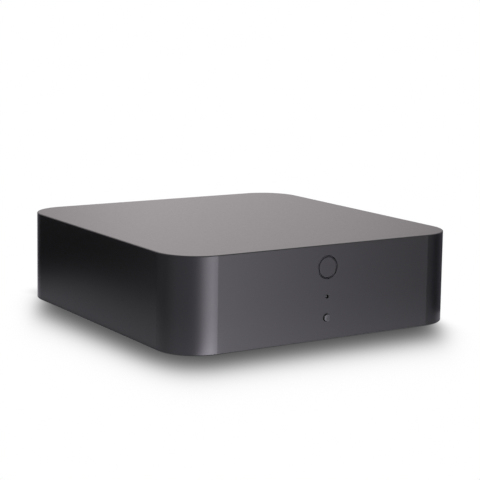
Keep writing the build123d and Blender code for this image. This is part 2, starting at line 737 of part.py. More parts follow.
# ---------------------------------------------------------------- line and coaxial jacks
with BuildPart() as jack_blocks:
    with BuildSketch(Plane.XZ.offset(-PANEL_IN_Y)):
        with Locations((COAX_X, (9.7 + 22.2) / 2)):
            Rectangle(10.4, 12.5)
    extrude(amount=13.0)
    with BuildSketch(Plane.XZ.offset(-PANEL_IN_Y)):
        with Locations((LINE_X, (9.7 + 36.4) / 2)):
            Rectangle(10.4, 26.7)
    extrude(amount=15.0)
    with BuildSketch(Plane.XZ.offset(-PANEL_IN_Y)):
        with Locations(*JACKS):
            Circle(3.95)
        with Locations((LINE_X, 22.8)):
            Circle(1.15)
    extrude(amount=5.1, mode=Mode.SUBTRACT)
jack_blocks.part.label = "jack_blocks"

with BuildPart() as jack_sleeves:
    with BuildSketch(Plane.XZ.offset(-57.0)):
        with Locations(*JACKS):
            Circle(3.9)
            Circle(3.55, mode=Mode.SUBTRACT)
    extrude(amount=-7.1)
    with BuildSketch(Plane.XZ.offset(-64.1)):
        with Locations(*JACKS):
            Circle(SLEEVE_R)
            Circle(3.55, mode=Mode.SUBTRACT)
    extrude(amount=-(SLEEVE_END_Y - 64.1))
    end_edges = jack_sleeves.edges().group_by(Axis.Y)[-1]
    chamfer(end_edges.filter_by(lambda e: e.radius > 4.0), 0.3)
jack_sleeves.part.label = "jack_sleeves"

INSULATORS = {
    "insulator_orange": (COAX_X, COAX_Z),
    "insulator_red": (LINE_X, LINE_Z_LOW),
    "insulator_white": (LINE_X, LINE_Z_HIGH),
}
with BuildPart() as insulator_orange:
    with BuildSketch(Plane.XZ.offset(-57.0)):
        with Locations(INSULATORS["insulator_orange"]):
            Circle(3.5)
            Circle(2.15, mode=Mode.SUBTRACT)
    extrude(amount=-10.0)
    with BuildSketch(Plane.XZ.offset(-67.0)):
        with Locations(INSULATORS["insulator_orange"]):
            Circle(3.5)
            Circle(1.7, mode=Mode.SUBTRACT)
    extrude(amount=-5.2)
insulator_orange.part.label = "insulator_orange"

with BuildPart() as insulator_red:
    with BuildSketch(Plane.XZ.offset(-57.0)):
        with Locations(INSULATORS["insulator_red"]):
            Circle(3.5)
            Circle(2.15, mode=Mode.SUBTRACT)
    extrude(amount=-10.0)
    with BuildSketch(Plane.XZ.offset(-67.0)):
        with Locations(INSULATORS["insulator_red"]):
            Circle(3.5)
            Circle(1.7, mode=Mode.SUBTRACT)
    extrude(amount=-5.2)
insulator_red.part.label = "insulator_red"

with BuildPart() as insulator_white:
    with BuildSketch(Plane.XZ.offset(-57.0)):
        with Locations(INSULATORS["insulator_white"]):
            Circle(3.5)
            Circle(2.15, mode=Mode.SUBTRACT)
    extrude(amount=-10.0)
    with BuildSketch(Plane.XZ.offset(-67.0)):
        with Locations(INSULATORS["insulator_white"]):
            Circle(3.5)
            Circle(1.7, mode=Mode.SUBTRACT)
    extrude(amount=-5.2)
insulator_white.part.label = "insulator_white"

with BuildPart() as jack_contacts:
    # split spring sockets that grip each plug's centre pin
    with BuildSketch(Plane.XZ.offset(-57.0)):
        with Locations(*JACKS):
            Circle(2.1)
            Circle(1.7, mode=Mode.SUBTRACT)
    extrude(amount=-9.9)
    with BuildSketch(Plane.XZ.offset(-66.9)):
        with Locations(*JACKS):
            Rectangle(0.4, 4.6)
    extrude(amount=6.0, mode=Mode.SUBTRACT)
jack_contacts.part.label = "jack_contacts"

# ---------------------------------------------------------------- ground terminal
THREAD_PITCH = 0.7
GND_TRAVEL_TURNS = 2.5
POST_END_Y = 73.2
with BuildPart() as ground_post:
    with BuildSketch(Plane.XZ.offset(-56.6)):
        with Locations((GND_X, GND_Z)):
            Circle(1.95)
    extrude(amount=-(POST_END_Y - 56.6))
    chamfer(ground_post.edges().group_by(Axis.Y)[-1], 0.4)
    # six-sided flange that clamps the outside of the panel
    with BuildSketch(Plane.XZ.offset(-PANEL_Y)):
        with Locations((GND_X, GND_Z)):
            RegularPolygon(3.9, 6)
    extrude(amount=-0.9)
    # thread, drawn as rings one pitch apart
    with BuildSketch(Plane(origin=(GND_X, 0, GND_Z), x_dir=(1, 0, 0), z_dir=(0, 0, 1))):
        for k in range(11):
            y = 65.5 + k * THREAD_PITCH
            with BuildLine():
                Polyline(
                    (1.66, y),
                    (2.05, y - 0.28),
                    (2.05, y + 0.28),
                    close=True,
                )
            make_face()
    revolve(axis=Axis((GND_X, 0, GND_Z), (0, 1, 0)), mode=Mode.SUBTRACT)
ground_post.part.label = "ground_post"

with BuildPart() as ground_post_nut:
    with BuildSketch(Plane.XZ.offset(-PANEL_IN_Y)):
        with Locations((GND_X, GND_Z)):
            RegularPolygon(3.9, 6)
            Circle(2.0, mode=Mode.SUBTRACT)
    extrude(amount=2.6)
ground_post_nut.part.label = "ground_post_nut"

with BuildPart() as ground_lead:
    # ring tag under the inner nut and its short green lead down to the main board
    with BuildSketch(Plane.XZ.offset(-59.3)):
        with Locations((GND_X, GND_Z)):
            Circle(3.6)
        with Locations((GND_X, GND_Z - 4.4)):
            Rectangle(2.4, 4.4)
        with Locations((GND_X, GND_Z)):
            Circle(2.0, mode=Mode.SUBTRACT)
    extrude(amount=0.8)
    with BuildLine() as lead:
        FilletPolyline(
            (GND_X, 58.9, GND_Z - 5.4),
            (GND_X, 58.9, GND_Z - 8.2),
            (GND_X, 52.0, GND_Z - 8.6),
            (GND_X, 52.0, BOARD_TOP),
            radius=2.4,
        )
    with BuildSketch(Plane(origin=lead.line @ 0, z_dir=lead.line % 0)):
        Circle(0.75)
    sweep()
ground_lead.part.label = "ground_lead"

WASHER_Y0, WASHER_T = 65.0, 0.9
with BuildPart() as ground_washer:
    with BuildSketch(Plane.XZ.offset(-WASHER_Y0)):
        with Locations((GND_X, GND_Z)):
            Circle(4.4)
            Circle(2.15, mode=Mode.SUBTRACT)
    extrude(amount=-WASHER_T)
ground_washer.part.label = "ground_washer"

NUT_Y0, NUT_L = 66.0, 5.3
with BuildPart() as ground_nut:
    with BuildSketch(Plane.XZ.offset(-NUT_Y0)):
        with Locations((GND_X, GND_Z)):
            Circle(4.7)
            with PolarLocations(4.78, 32):
                RegularPolygon(0.36, 4, rotation=0, mode=Mode.SUBTRACT)
    extrude(amount=-NUT_L)
    with BuildSketch(Plane.XZ.offset(-NUT_Y0)):
        with Locations((GND_X, GND_Z)):
            Circle(4.1)
    extrude(amount=-(NUT_L + 0.5))
    with BuildSketch(Plane.XZ.offset(-NUT_Y0)):
        with Locations((GND_X, GND_Z)):
            Circle(2.02)
    extrude(amount=-(NUT_L + 0.5), mode=Mode.SUBTRACT)
ground_nut.part.label = "ground_nut"

# ---------------------------------------------------------------- pairing button
with BuildPart() as pair_button:
    with BuildSketch(Plane.XZ.offset(-61.0)):
        with Locations((PAIR_X, PAIR_Z)):
            Circle(2.0)
    extrude(amount=-4.1)
    fillet(pair_button.edges().group_by(Axis.Y)[-1], 0.35)
    with BuildSketch(Plane.XZ.offset(-61.0)):
        with Locations((PAIR_X, PAIR_Z)):
            Circle(2.9)
    extrude(amount=-0.9)
    with BuildSketch(Plane.XZ.offset(-61.0)):
        with Locations((PAIR_X, PAIR_Z)):
            Circle(1.1)
    extrude(amount=1.9)
pair_button.part.label = "pair_button"

with BuildPart() as pair_switch:
    with BuildSketch(Plane.XY.offset(BOARD_TOP)):
        with Locations((PAIR_X, 57.0)):
            Rectangle(6.4, 5.6)
    extrude(amount=8.6)
    with BuildSketch(Plane.XZ.offset(-59.8)):
        with Locations((PAIR_X, PAIR_Z)):
            Circle(1.3)
    extrude(amount=1.6, mode=Mode.SUBTRACT)
pair_switch.part.label = "pair_switch"

# ---------------------------------------------------------------- mains inlet and supply board
with BuildPart() as mains_inlet:
    with BuildSketch(Plane.XZ.offset(-64.3)):
        with Locations((INLET_X, INLET_Z)):
            RectangleRounded(20.0, 11.6, 0.8)
    extrude(amount=20.5)
    with BuildSketch(Plane.XZ.offset(-64.3)):
        with Locations((INLET_X, INLET_Z)):
            SlotOverall(16.6, 8.8)
    extrude(amount=12.5, mode=Mode.SUBTRACT)
    with BuildSketch(Plane.XZ.offset(-51.8)):
        with Locations((INLET_X - 4.3, INLET_Z), (INLET_X + 4.3, INLET_Z)):
            Circle(1.22)
    extrude(amount=6.0, mode=Mode.SUBTRACT)
mains_inlet.part.label = "mains_inlet"

with BuildPart() as mains_pins:
    with BuildSketch(Plane.XZ.offset(-45.9)):
        with Locations((INLET_X - 4.3, INLET_Z), (INLET_X + 4.3, INLET_Z)):
            Circle(1.18)
    extrude(amount=-15.7)
    fillet(mains_pins.edges().group_by(Axis.Y)[-1], 0.9)
mains_pins.part.label = "mains_pins"

with BuildPart() as mains_fuse:
    with BuildSketch(Plane.XY.offset(BOARD_TOP)):
        with Locations((-55.5, 36.5)):
            Circle(4.2)
    extrude(amount=7.6)
    fillet(mains_fuse.edges().group_by(Axis.Z)[-1], 0.8)
mains_fuse.part.label = "mains_fuse"

with BuildPart() as line_choke:
    # square ferrite ring standing on edge, a winding on each upright leg
    with BuildSketch(Plane.XZ.offset(-36.0)):
        with Locations((-41.5, BOARD_TOP + 8.5)):
            Rectangle(16, 15)
            Rectangle(9, 8, mode=Mode.SUBTRACT)
    extrude(amount=4.0)
    with BuildSketch(Plane.XY.offset(BOARD_TOP)):
        with Locations((-41.5, 34.0)):
            Rectangle(18, 13)
    extrude(amount=1.0)
    with BuildSketch(Plane.XY.offset(BOARD_TOP + 4.9)):
        with Locations((-47.75, 34.0), (-35.25, 34.0)):
            RectangleRounded(6.6, 9.5, 1.5)
    extrude(amount=7.2)
line_choke.part.label = "line_choke"

with BuildPart() as filter_capacitor:
    with Locations((-58.0, 21.0, BOARD_TOP + 6.0)):
        Box(15.0, 6.5, 12.0)
    fillet(filter_capacitor.edges().filter_by(Axis.Z), 0.5)
filter_capacitor.part.label = "filter_capacitor"

with BuildPart() as psu_capacitors:
    with BuildSketch(Plane.XY.offset(BOARD_TOP)):
        with Locations((-57.5, 6.0)):
            Circle(8.0)
    extrude(amount=24.0)
    with BuildSketch(Plane.XY.offset(BOARD_TOP)):
        with Locations((-54.0, -34.0), (-45.0, -34.0)):
            Circle(4.0)
    extrude(amount=15.0)
    fillet(
        psu_capacitors.edges().filter_by(
            lambda e: e.center().Z > BOARD_TOP + 14.0
        ),
        0.8,
    )
psu_capacitors.part.label = "psu_capacitors"

with BuildPart() as psu_transformer:
    # wound bobbin inside a ferrite core
    with BuildSketch(Plane.XY.offset(BOARD_TOP)):
        with Locations((-50.5, -16.5)):
            Rectangle(24, 21)
    extrude(amount=2.5)
    with BuildSketch(Plane.XY.offset(BOARD_TOP + 2.5)):
        with Locations((-50.5, -16.5)):
            RectangleRounded(17, 20, 3.0)
    extrude(amount=13.5)
    with BuildSketch(Plane.XZ.offset(20.5)):
        with Locations((-50.5, BOARD_TOP + 10.0)):
            Rectangle(26, 18)
            with Locations((0, 0)):
                Rectangle(17, 12, mode=Mode.SUBTRACT)
    extrude(amount=-8.0)
psu_transformer.part.label = "psu_transformer"

with BuildPart() as mains_barrier:
    # stiff insulating sheet between the supply and the main board
    with BuildSketch(Plane.YZ.offset(-30.3)):
        with Locations((9.6, 12.0)):
            Rectangle(102.6, 15.6)
    extrude(amount=0.4)
mains_barrier.part.label = "mains_barrier"

with BuildPart() as board_connectors:
    # white headers at both ends of the supply lead, and the two ribbon sockets
    with BuildSketch(Plane.XY.offset(BOARD_TOP)):
        with Locations((-37.0, -33.0), (-21.0, -31.0 - 2.0)):
            Rectangle(5.6, 10.4)
    extrude(amount=6.0)
    with BuildSketch(Plane.XY.offset(BOARD_TOP)):
        with Locations((0, -47.0)):
            Rectangle(16.0, 2.6)
    extrude(amount=2.4)
    with BuildSketch(Plane.XZ.offset(-FRONT_BOARD_Y)):
        with Locations((0, 15.0)):
            Rectangle(16.0, 2.6)
    extrude(amount=-2.2)
board_connectors.part.label = "board_connectors"

with BuildPart() as power_harness:
    # four wires arched over the barrier from header to header
    for y in (-36.3, -34.1, -31.9, -29.7):
        with BuildLine(Plane.XZ.offset(-y)) as wire:
            run_up = Line((-37.0, BOARD_TOP + 6.0), (-37.0, BOARD_TOP + 7.2))
            arch = ThreePointArc(
                run_up @ 1, (-29.0, BOARD_TOP + 15.2), (-21.0, BOARD_TOP + 7.2)
            )
            Line(arch @ 1, (-21.0, BOARD_TOP + 6.0))
        with BuildSketch(Plane(origin=wire.line @ 0, z_dir=wire.line % 0)):
            Circle(0.7)
        sweep()
power_harness.part.label = "power_harness"

# ---------------------------------------------------------------- front board, light and button
with BuildPart() as front_board:
    with BuildSketch(Plane.XZ.offset(-FRONT_BOARD_Y)):
        with Locations((0, 15.6)):
            RectangleRounded(32.0, 19.0, 1.0)
        with Locations(*FRONT_BOARD_SCREWS):
            Circle(1.25, mode=Mode.SUBTRACT)
    extrude(amount=FRONT_BOARD_T)
front_board.part.label = "front_board"

LED_FACE_Y = FRONT_BOARD_Y - FRONT_BOARD_T
with BuildPart() as status_led:
    with BuildSketch(Plane.XZ.offset(-LED_FACE_Y)):
        with Locations((0, LIGHT_Z)):
            Rectangle(3.0, 2.0)
    extrude(amount=0.5)
    with BuildSketch(Plane.XZ.offset(-LED_FACE_Y + 0.5)):
        with Locations((0, LIGHT_Z)):
            RectangleRounded(2.2, 1.6, 0.3)
    extrude(amount=0.5)
status_led.part.label = "status_led"

with BuildPart() as status_lens:
    with BuildSketch(Plane.XZ.offset(67.5)):
        with Locations((0, LIGHT_Z)):
            Circle(LIGHT_R + 0.3)
    extrude(amount=3.0)
    with BuildSketch(Plane.XZ.offset(70.5)):
        with Locations((0, LIGHT_Z)):
            Circle(2.4)
    extrude(amount=1.0)
    with BuildSketch(Plane.XZ.offset(71.5)):
        with Locations((0, LIGHT_Z)):
            Circle(LIGHT_R)
    extrude(amount=2.1)
    fillet(status_lens.edges().group_by(Axis.Y)[0], 0.35)
status_lens.part.label = "status_lens"

CAP_R = (BUTTON_R**2 + BUTTON_DOME**2) / (2 * BUTTON_DOME)  # sphere of the cap
CAP_HALF = math.asin(BUTTON_R / CAP_R) / 2
CAP_Y = FRONT_Y - BUTTON_PROUD - BUTTON_DOME + CAP_R  # the sphere's centre
with BuildPart() as front_button:
    # stem, flange, shaft and domed cap, turned about the button's own axis
    with BuildSketch(
        Plane(origin=(0, 0, BUTTON_Z), x_dir=(1, 0, 0), z_dir=(0, 0, 1))
    ):
        with BuildLine():
            Polyline(
                (0, CAP_Y - CAP_R),
                (0, -68.0),
                (1.0, -68.0),
                (1.0, -70.6),
                (3.2, -70.6),
                (3.2, -71.5),
                (BUTTON_R, -71.5),
                (BUTTON_R, FRONT_Y - BUTTON_PROUD),
            )
            ThreePointArc(
                (BUTTON_R, FRONT_Y - BUTTON_PROUD),
                (CAP_R * math.sin(CAP_HALF), CAP_Y - CAP_R * math.cos(CAP_HALF)),
                (0, CAP_Y - CAP_R),
            )
        make_face()
    revolve(axis=Axis((0, 0, BUTTON_Z), (0, 1, 0)))
front_button.part.label = "front_button"

with BuildPart() as front_switch:
    with BuildSketch(Plane.XZ.offset(-LED_FACE_Y)):
        with Locations((0, BUTTON_Z)):
            RectangleRounded(5.2, 5.2, 0.4)
    extrude(amount=2.6)
    with BuildSketch(Plane.XZ.offset(68.8)):
        with Locations((0, BUTTON_Z)):
            Circle(1.3)
    extrude(amount=-1.5, mode=Mode.SUBTRACT)
front_switch.part.label = "front_switch"

with BuildPart() as front_badge:
    # plain bevelled ring let into the front
    with BuildSketch(Plane.XZ.offset(73.35)):
        with Locations((0, BADGE_Z)):
            Circle(BADGE_R_OUT)
            Circle(BADGE_R_IN, mode=Mode.SUBTRACT)
    extrude(amount=0.55)
    chamfer(front_badge.edges().group_by(Axis.Y)[0], 0.25)
front_badge.part.label = "front_badge"

with BuildPart() as ribbon_cable:
    # flat ribbon from the front board to the main board
    with BuildSketch(Plane.YZ.offset(-6.0)):
        with BuildLine():
            upper = Line((-62.8, 15.12), (-50.0, 15.12))
            bend_out = RadiusArc(upper @ 1, (-46.88, 12.0), 3.12)
            foot = Line(bend_out @ 1, (-47.12, 12.0))
            bend_in = RadiusArc(foot @ 1, (-50.0, 14.88), -2.88)
            Polyline(bend_in @ 1, (-62.8, 14.88), (-62.8, 15.12))
        make_face()
    extrude(amount=12.0)
ribbon_cable.part.label = "ribbon_cable"

# ---------------------------------------------------------------- write every piece
PIECES = [
    housing, base_cover, rubber_feet, base_screws, rear_io_panel, io_panel_screws,
    main_board, psu_board, board_screws, processor, thermal_pad, heat_sink,
    heat_sink_pins, board_chips, analog_shield, board_capacitors, wifi_module,
    antennas, antenna_cable_right, antenna_cable_left, ethernet_shell,
    ethernet_insert, port_contacts, usb_shell, usb_insert, hdmi_shell, hdmi_insert,
    optical_receiver, optical_shutter, jack_blocks, jack_sleeves, insulator_orange,
    insulator_red, insulator_white, jack_contacts, ground_post, ground_post_nut,
    ground_lead, ground_washer, ground_nut, pair_button, pair_switch, mains_inlet,
    mains_pins, mains_fuse, line_choke, filter_capacitor, psu_capacitors,
    psu_transformer, mains_barrier, board_connectors, power_harness, front_board,
    status_led, status_lens, front_button, front_switch, front_badge, ribbon_cable,
]
for piece in PIECES:
    export_step(piece.part, f"parts/{piece.part.label}.step")
print(len(PIECES), "pieces written")
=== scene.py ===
"""Looks of a wireless audio hub: camera, studio and materials."""
import math

import bmesh
import bpy
from mathutils import Matrix, Vector

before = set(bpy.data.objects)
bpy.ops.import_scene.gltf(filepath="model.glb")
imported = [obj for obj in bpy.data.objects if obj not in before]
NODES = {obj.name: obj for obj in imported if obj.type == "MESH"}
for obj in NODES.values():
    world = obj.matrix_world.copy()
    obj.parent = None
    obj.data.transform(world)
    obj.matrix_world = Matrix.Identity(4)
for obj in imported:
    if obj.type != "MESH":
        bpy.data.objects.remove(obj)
scene = bpy.context.scene


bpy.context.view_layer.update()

# ---------------------------------------------------------------- camera
AZ, EL, ROLL = math.radians(-32.2982), math.radians(7.3619), math.radians(0.8492)
back = Vector((math.sin(AZ) * math.cos(EL), -math.cos(AZ) * math.cos(EL), math.sin(EL)))
right = (-back).cross(Vector((0, 0, 1))).normalized()
up = right.cross(-back)
right_r = right * math.cos(ROLL) + up * math.sin(ROLL)
up_r = -right * math.sin(ROLL) + up * math.cos(ROLL)
camera_data = bpy.data.cameras.new("camera")
camera_data.sensor_width = 36.0
camera_data.lens = 109.533
camera_data.shift_y = -0.125
camera_data.clip_start = 0.02
camera_data.clip_end = 120.0
camera = bpy.data.objects.new("camera", camera_data)
scene.collection.objects.link(camera)
turn = Matrix((right_r, up_r, back)).transposed().to_4x4()
camera.matrix_world = Matrix.Translation(Vector((-0.353831, -0.563851, 0.14605))) @ turn
scene.camera = camera


# ---------------------------------------------------------------- small helpers
def new_material(name):
    m = bpy.data.materials.new(name)
    m.use_nodes = True
    m.node_tree.nodes.clear()
    return m, m.node_tree.nodes, m.node_tree.links


def link_obj(name, mesh):
    o = bpy.data.objects.new(name, mesh)
    scene.collection.objects.link(o)
    return o


def mesh_from(name, verts, faces, smooth=False):
    me = bpy.data.meshes.new(name)
    me.from_pydata(verts, [], faces)
    me.update()
    if smooth:
        me.polygons.foreach_set("use_smooth", [True] * len(me.polygons))
    return me


def emission(name, color, strength):
    m, n, l = new_material(name)
    e = n.new("ShaderNodeEmission")
    e.inputs["Color"].default_value = (*color, 1)
    e.inputs["Strength"].default_value = strength
    out = n.new("ShaderNodeOutputMaterial")
    l.new(e.outputs[0], out.inputs["Surface"])
    m.cycles.emission_sampling = "NONE"
    return m


def glossy_only(o):
    o.visible_camera = False
    o.visible_diffuse = False
    o.visible_transmission = False
    o.visible_volume_scatter = False
    o.visible_shadow = False


def math_node(n, l, op, a, b=None, c=None, clamp=False):
    m = n.new("ShaderNodeMath")
    m.operation = op
    m.use_clamp = clamp
    for i, v in enumerate((a, b, c)):
        if v is None:
            continue
        if isinstance(v, (int, float)):
            m.inputs[i].default_value = v
        else:
            l.new(v, m.inputs[i])
    return m.outputs[0]


def map_range(n, l, value, a, b, c, d, smooth=False):
    m = n.new("ShaderNodeMapRange")
    m.interpolation_type = "SMOOTHSTEP" if smooth else "LINEAR"
    m.inputs["From Min"].default_value = a
    m.inputs["From Max"].default_value = b
    m.inputs["To Min"].default_value = c
    m.inputs["To Max"].default_value = d
    l.new(value, m.inputs["Value"])
    return m.outputs[0]


def ramp(n, l, fac, stops, interpolation="LINEAR"):
    r = n.new("ShaderNodeValToRGB")
    r.color_ramp.interpolation = interpolation
    el = r.color_ramp.elements
    stops = [(p, c if isinstance(c, tuple) else (c, c, c)) for p, c in stops]
    el[0].position, el[1].position = stops[0][0], stops[-1][0]
    el[0].color, el[1].color = (*stops[0][1], 1), (*stops[-1][1], 1)
    for p, c in stops[1:-1]:
        e = el.new(p)
        e.color = (*c, 1)
    if fac is not None:
        l.new(fac, r.inputs["Fac"])
    return r.outputs["Color"]


# ---------------------------------------------------------------- studio
# floor: a plain white disc that runs to the horizon and gives off its own even light. Its soft shadow is painted into
# that light towards the front left, shaped as under a broad light behind the case: the case's outline, moved that way
# and blurred, with a painted close contact shadow at the far side
floor_mesh = bpy.data.meshes.new("floor")
bm = bmesh.new()
bmesh.ops.create_circle(bm, cap_ends=True, radius=60.0, segments=96)
bm.to_mesh(floor_mesh)
bm.free()
floor = link_obj("floor", floor_mesh)
fm, n, l = new_material("floor_glow_painted_shadow")
tc = n.new("ShaderNodeTexCoord")
sep = n.new("ShaderNodeSeparateXYZ")
l.new(tc.outputs["Object"], sep.inputs[0])
# All of it is in metres about the case: how far each edge of the painted shadow lies out from its wall, the width it
# fades over, and how much both grow along the wall
FRONT, LEFT = (0.074, 0.01618, 0.01463, 1.54, 0.80), (0.072, 0.00997, 0.01011, 1.83, 1.93)
BACK, RIGHT = (0.074, 0.00318, 0.00856, 0.0, 0.0), (0.072, -0.00419, 0.00435, 0.0, 0.0)
# the painted shadow points away from this direction, as from a light over the back, and is this wide across it
SHADOW_DIR_X, SHADOW_DIR_Y, MIDDLE, HALF, FADE_SIDE = 0.5343, 0.8453, 0.0002, 0.09008, 0.00509


def beyond(value, sign, along, edge):
    """How far outside one edge of the painted shadow, in its fading widths."""
    wall, out_by, fade, out_grows, fade_grows = edge
    at = math_node(n, l, "MINIMUM", math_node(n, l, "MAXIMUM", along, -0.12), 0.12)
    past = math_node(n, l, "MULTIPLY_ADD", at, -out_by * out_grows, math_node(n, l, "MULTIPLY_ADD", value, sign, -wall - out_by))
    return math_node(n, l, "DIVIDE", past, math_node(n, l, "MULTIPLY_ADD", at, fade * fade_grows, fade))


def soft(value):
    d = math_node(n, l, "MINIMUM", math_node(n, l, "MAXIMUM", value, -8.0), 8.0)
    e = math_node(n, l, "EXPONENT", math_node(n, l, "MULTIPLY", d, 1.702))
    return math_node(n, l, "DIVIDE", 1.0, math_node(n, l, "ADD", e, 1.0))


px, py = sep.outputs["X"], sep.outputs["Y"]
near_edge = math_node(n, l, "SMOOTH_MAX", beyond(py, -1, px, FRONT), beyond(px, -1, py, LEFT), 3.28)
far_edge = math_node(n, l, "SMOOTH_MAX", beyond(py, 1, px, BACK), beyond(px, 1, py, RIGHT), 2.47)
near_soft, far_soft = soft(near_edge), soft(far_edge)
mask = math_node(n, l, "ADD", math_node(n, l, "ADD", near_soft, far_soft), -1.0, clamp=True)
across = math_node(n, l, "MULTIPLY_ADD", sep.outputs["X"], SHADOW_DIR_Y, math_node(n, l, "MULTIPLY", sep.outputs["Y"], -SHADOW_DIR_X))
across = math_node(n, l, "ABSOLUTE", math_node(n, l, "SUBTRACT", across, MIDDLE))
mask = math_node(n, l, "MULTIPLY", mask, soft(math_node(n, l, "DIVIDE", math_node(n, l, "SUBTRACT", across, HALF), FADE_SIDE)))
# painted shadow: the blurred outline mask dims the floor's own light
shade = math_node(n, l, "POWER", math_node(n, l, "MULTIPLY_ADD", mask, -0.722 / 1.055, 1.0), 2.4)
# painted contact shadow: ambient occlusion close to the case darkens the floor's light, except along its front and
# left sides
ao = n.new("ShaderNodeAmbientOcclusion")
ao.samples = 24
ao.inputs["Distance"].default_value = 0.018
contact = map_range(n, l, ao.outputs["AO"], 0.40, 0.97, 0.22, 1.0)
where = math_node(n, l, "MULTIPLY", map_range(n, l, sep.outputs["Y"], -0.050, -0.020, 0.0, 1.0, smooth=True),
                  map_range(n, l, sep.outputs["X"], -0.075, -0.060, 0.0, 1.0, smooth=True))
contact = math_node(n, l, "SUBTRACT", 1.0, math_node(n, l, "MULTIPLY", where, math_node(n, l, "SUBTRACT", 1.0, contact)))
em = n.new("ShaderNodeEmission")
l.new(math_node(n, l, "MINIMUM", shade, contact), em.inputs["Strength"])
out = n.new("ShaderNodeOutputMaterial")
l.new(em.outputs[0], out.inputs["Surface"])
fm.cycles.emission_sampling = "NONE"
floor_mesh.materials.append(fm)
floor.visible_glossy = False

# even white surroundings show behind the case and light it; the floor gives off its own light, and the glossy dome
# below stands in for the surroundings in reflections
world = bpy.data.worlds.new("studio")
scene.world = world
world.use_nodes = True
world.node_tree.nodes["Background"].inputs["Color"].default_value = (1, 1, 1, 1)
world.node_tree.nodes["Background"].inputs["Strength"].default_value = 1.08
world.cycles_visibility.glossy = False

# what the satin paint mirrors: soft panels round the horizon, each stop an azimuth in degrees from the
# front towards the right and a strength; one set at and below table height, one above
LOW = [(-180, 0.25), (-165, 0.0), (-150, 0.02), (-135, 0.14), (-110, 0.20), (-80, 0.64), (-50, 0.74), (-30, 0.93),
       (-16, 1.89), (-4, 4.29), (8, 5.80), (20, 7.05), (28, 4.30), (36, 0.06), (50, 0.10), (75, 0.14), (100, 0.02),
       (130, 0.34), (160, 0.40), (180, 0.25)]
HIGH = [(-180, 0.80), (-120, 0.90), (-60, 0.40), (0, 0.34), (50, 0.40), (100, 0.55), (130, 0.14), (142, 0.86),
        (152, 1.19), (165, 0.20), (180, 0.80)]
dome_mesh = bpy.data.meshes.new("studio_dome")
bm = bmesh.new()
bmesh.ops.create_uvsphere(bm, u_segments=64, v_segments=32, radius=9.0)
bm.to_mesh(dome_mesh)
bm.free()
dome = link_obj("studio_dome", dome_mesh)
dm, n, l = new_material("dome_light")
tc = n.new("ShaderNodeTexCoord")
nrm = n.new("ShaderNodeVectorMath")
nrm.operation = "NORMALIZE"
l.new(tc.outputs["Object"], nrm.inputs[0])
sep = n.new("ShaderNodeSeparateXYZ")
l.new(nrm.outputs[0], sep.inputs[0])
turned = math_node(n, l, "ARCTAN2", sep.outputs["X"], math_node(n, l, "MULTIPLY", sep.outputs["Y"], -1.0))
fac = math_node(n, l, "MULTIPLY_ADD", turned, 1 / (2 * math.pi), 0.5)
low = ramp(n, l, fac, [((a + 180) / 360, (v / 7.0, v / 7.0, v * (0.95 if v > 4 else 1.0) / 7.0)) for a, v in LOW])
high = ramp(n, l, fac, [((a + 180) / 360, v / 7.0) for a, v in HIGH])
level = map_range(n, l, sep.outputs["Z"], -0.035, 0.07, 0.0, 1.0, smooth=True)
tint_low = n.new("ShaderNodeMix")
tint_low.data_type, tint_low.blend_type = "RGBA", "MULTIPLY"
tint_low.inputs["Factor"].default_value = 1.0
tint_low.inputs["B"].default_value = (0.974, 0.930, 1.096, 1)
l.new(low, tint_low.inputs["A"])
tint_high = n.new("ShaderNodeMix")
tint_high.data_type, tint_high.blend_type = "RGBA", "MULTIPLY"
tint_high.inputs["Factor"].default_value = 1.0
tint_high.inputs["B"].default_value = (1.040, 0.967, 0.993, 1)
l.new(high, tint_high.inputs["A"])
both = n.new("ShaderNodeMix")
both.data_type = "RGBA"
l.new(level, both.inputs["Factor"])
l.new(tint_low.outputs["Result"], both.inputs["A"])
l.new(tint_high.outputs["Result"], both.inputs["B"])
# further down the white floor takes over from the panels
floor_level = n.new("ShaderNodeMix")
floor_level.data_type = "RGBA"
l.new(map_range(n, l, sep.outputs["Z"], -0.46, -0.27, 1.0, 0.0, smooth=True), floor_level.inputs["Factor"])
l.new(both.outputs["Result"], floor_level.inputs["A"])
floor_level.inputs["B"].default_value = (0.120, 0.117, 0.126, 1)
# and high up an even white ceiling does
ceiling = n.new("ShaderNodeMix")
ceiling.data_type = "RGBA"
l.new(map_range(n, l, sep.outputs["Z"], 0.30, 0.62, 0.0, 1.0, smooth=True), ceiling.inputs["Factor"])
l.new(floor_level.outputs["Result"], ceiling.inputs["A"])
ceiling.inputs["B"].default_value = (0.135, 0.132, 0.135, 1)
em = n.new("ShaderNodeEmission")
l.new(ceiling.outputs["Result"], em.inputs["Color"])
em.inputs["Strength"].default_value = 7.0
out = n.new("ShaderNodeOutputMaterial")
l.new(em.outputs[0], out.inputs["Surface"])
dm.cycles.emission_sampling = "NONE"
dome_mesh.materials.append(dm)
glossy_only(dome)

# the white floor close to the case, as the walls mirror it: strongest at the case, gone 75 mm away
glow_mesh = mesh_from("glow", [(-0.16, -0.16, 0.0002), (0.16, -0.16, 0.0002), (0.16, 0.16, 0.0002), (-0.16, 0.16, 0.0002)],
                      [(0, 1, 2, 3)])
glow = link_obj("near_floor_glow", glow_mesh)
gm, n, l = new_material("near_floor_light")
tc = n.new("ShaderNodeTexCoord")
sep = n.new("ShaderNodeSeparateXYZ")
l.new(tc.outputs["Object"], sep.inputs[0])
qx = math_node(n, l, "SUBTRACT", math_node(n, l, "ABSOLUTE", sep.outputs["X"]), 0.0538)
qy = math_node(n, l, "SUBTRACT", math_node(n, l, "ABSOLUTE", sep.outputs["Y"]), 0.0558)
px = math_node(n, l, "POWER", math_node(n, l, "MAXIMUM", qx, 0.0), 2.0)
py = math_node(n, l, "POWER", math_node(n, l, "MAXIMUM", qy, 0.0), 2.0)
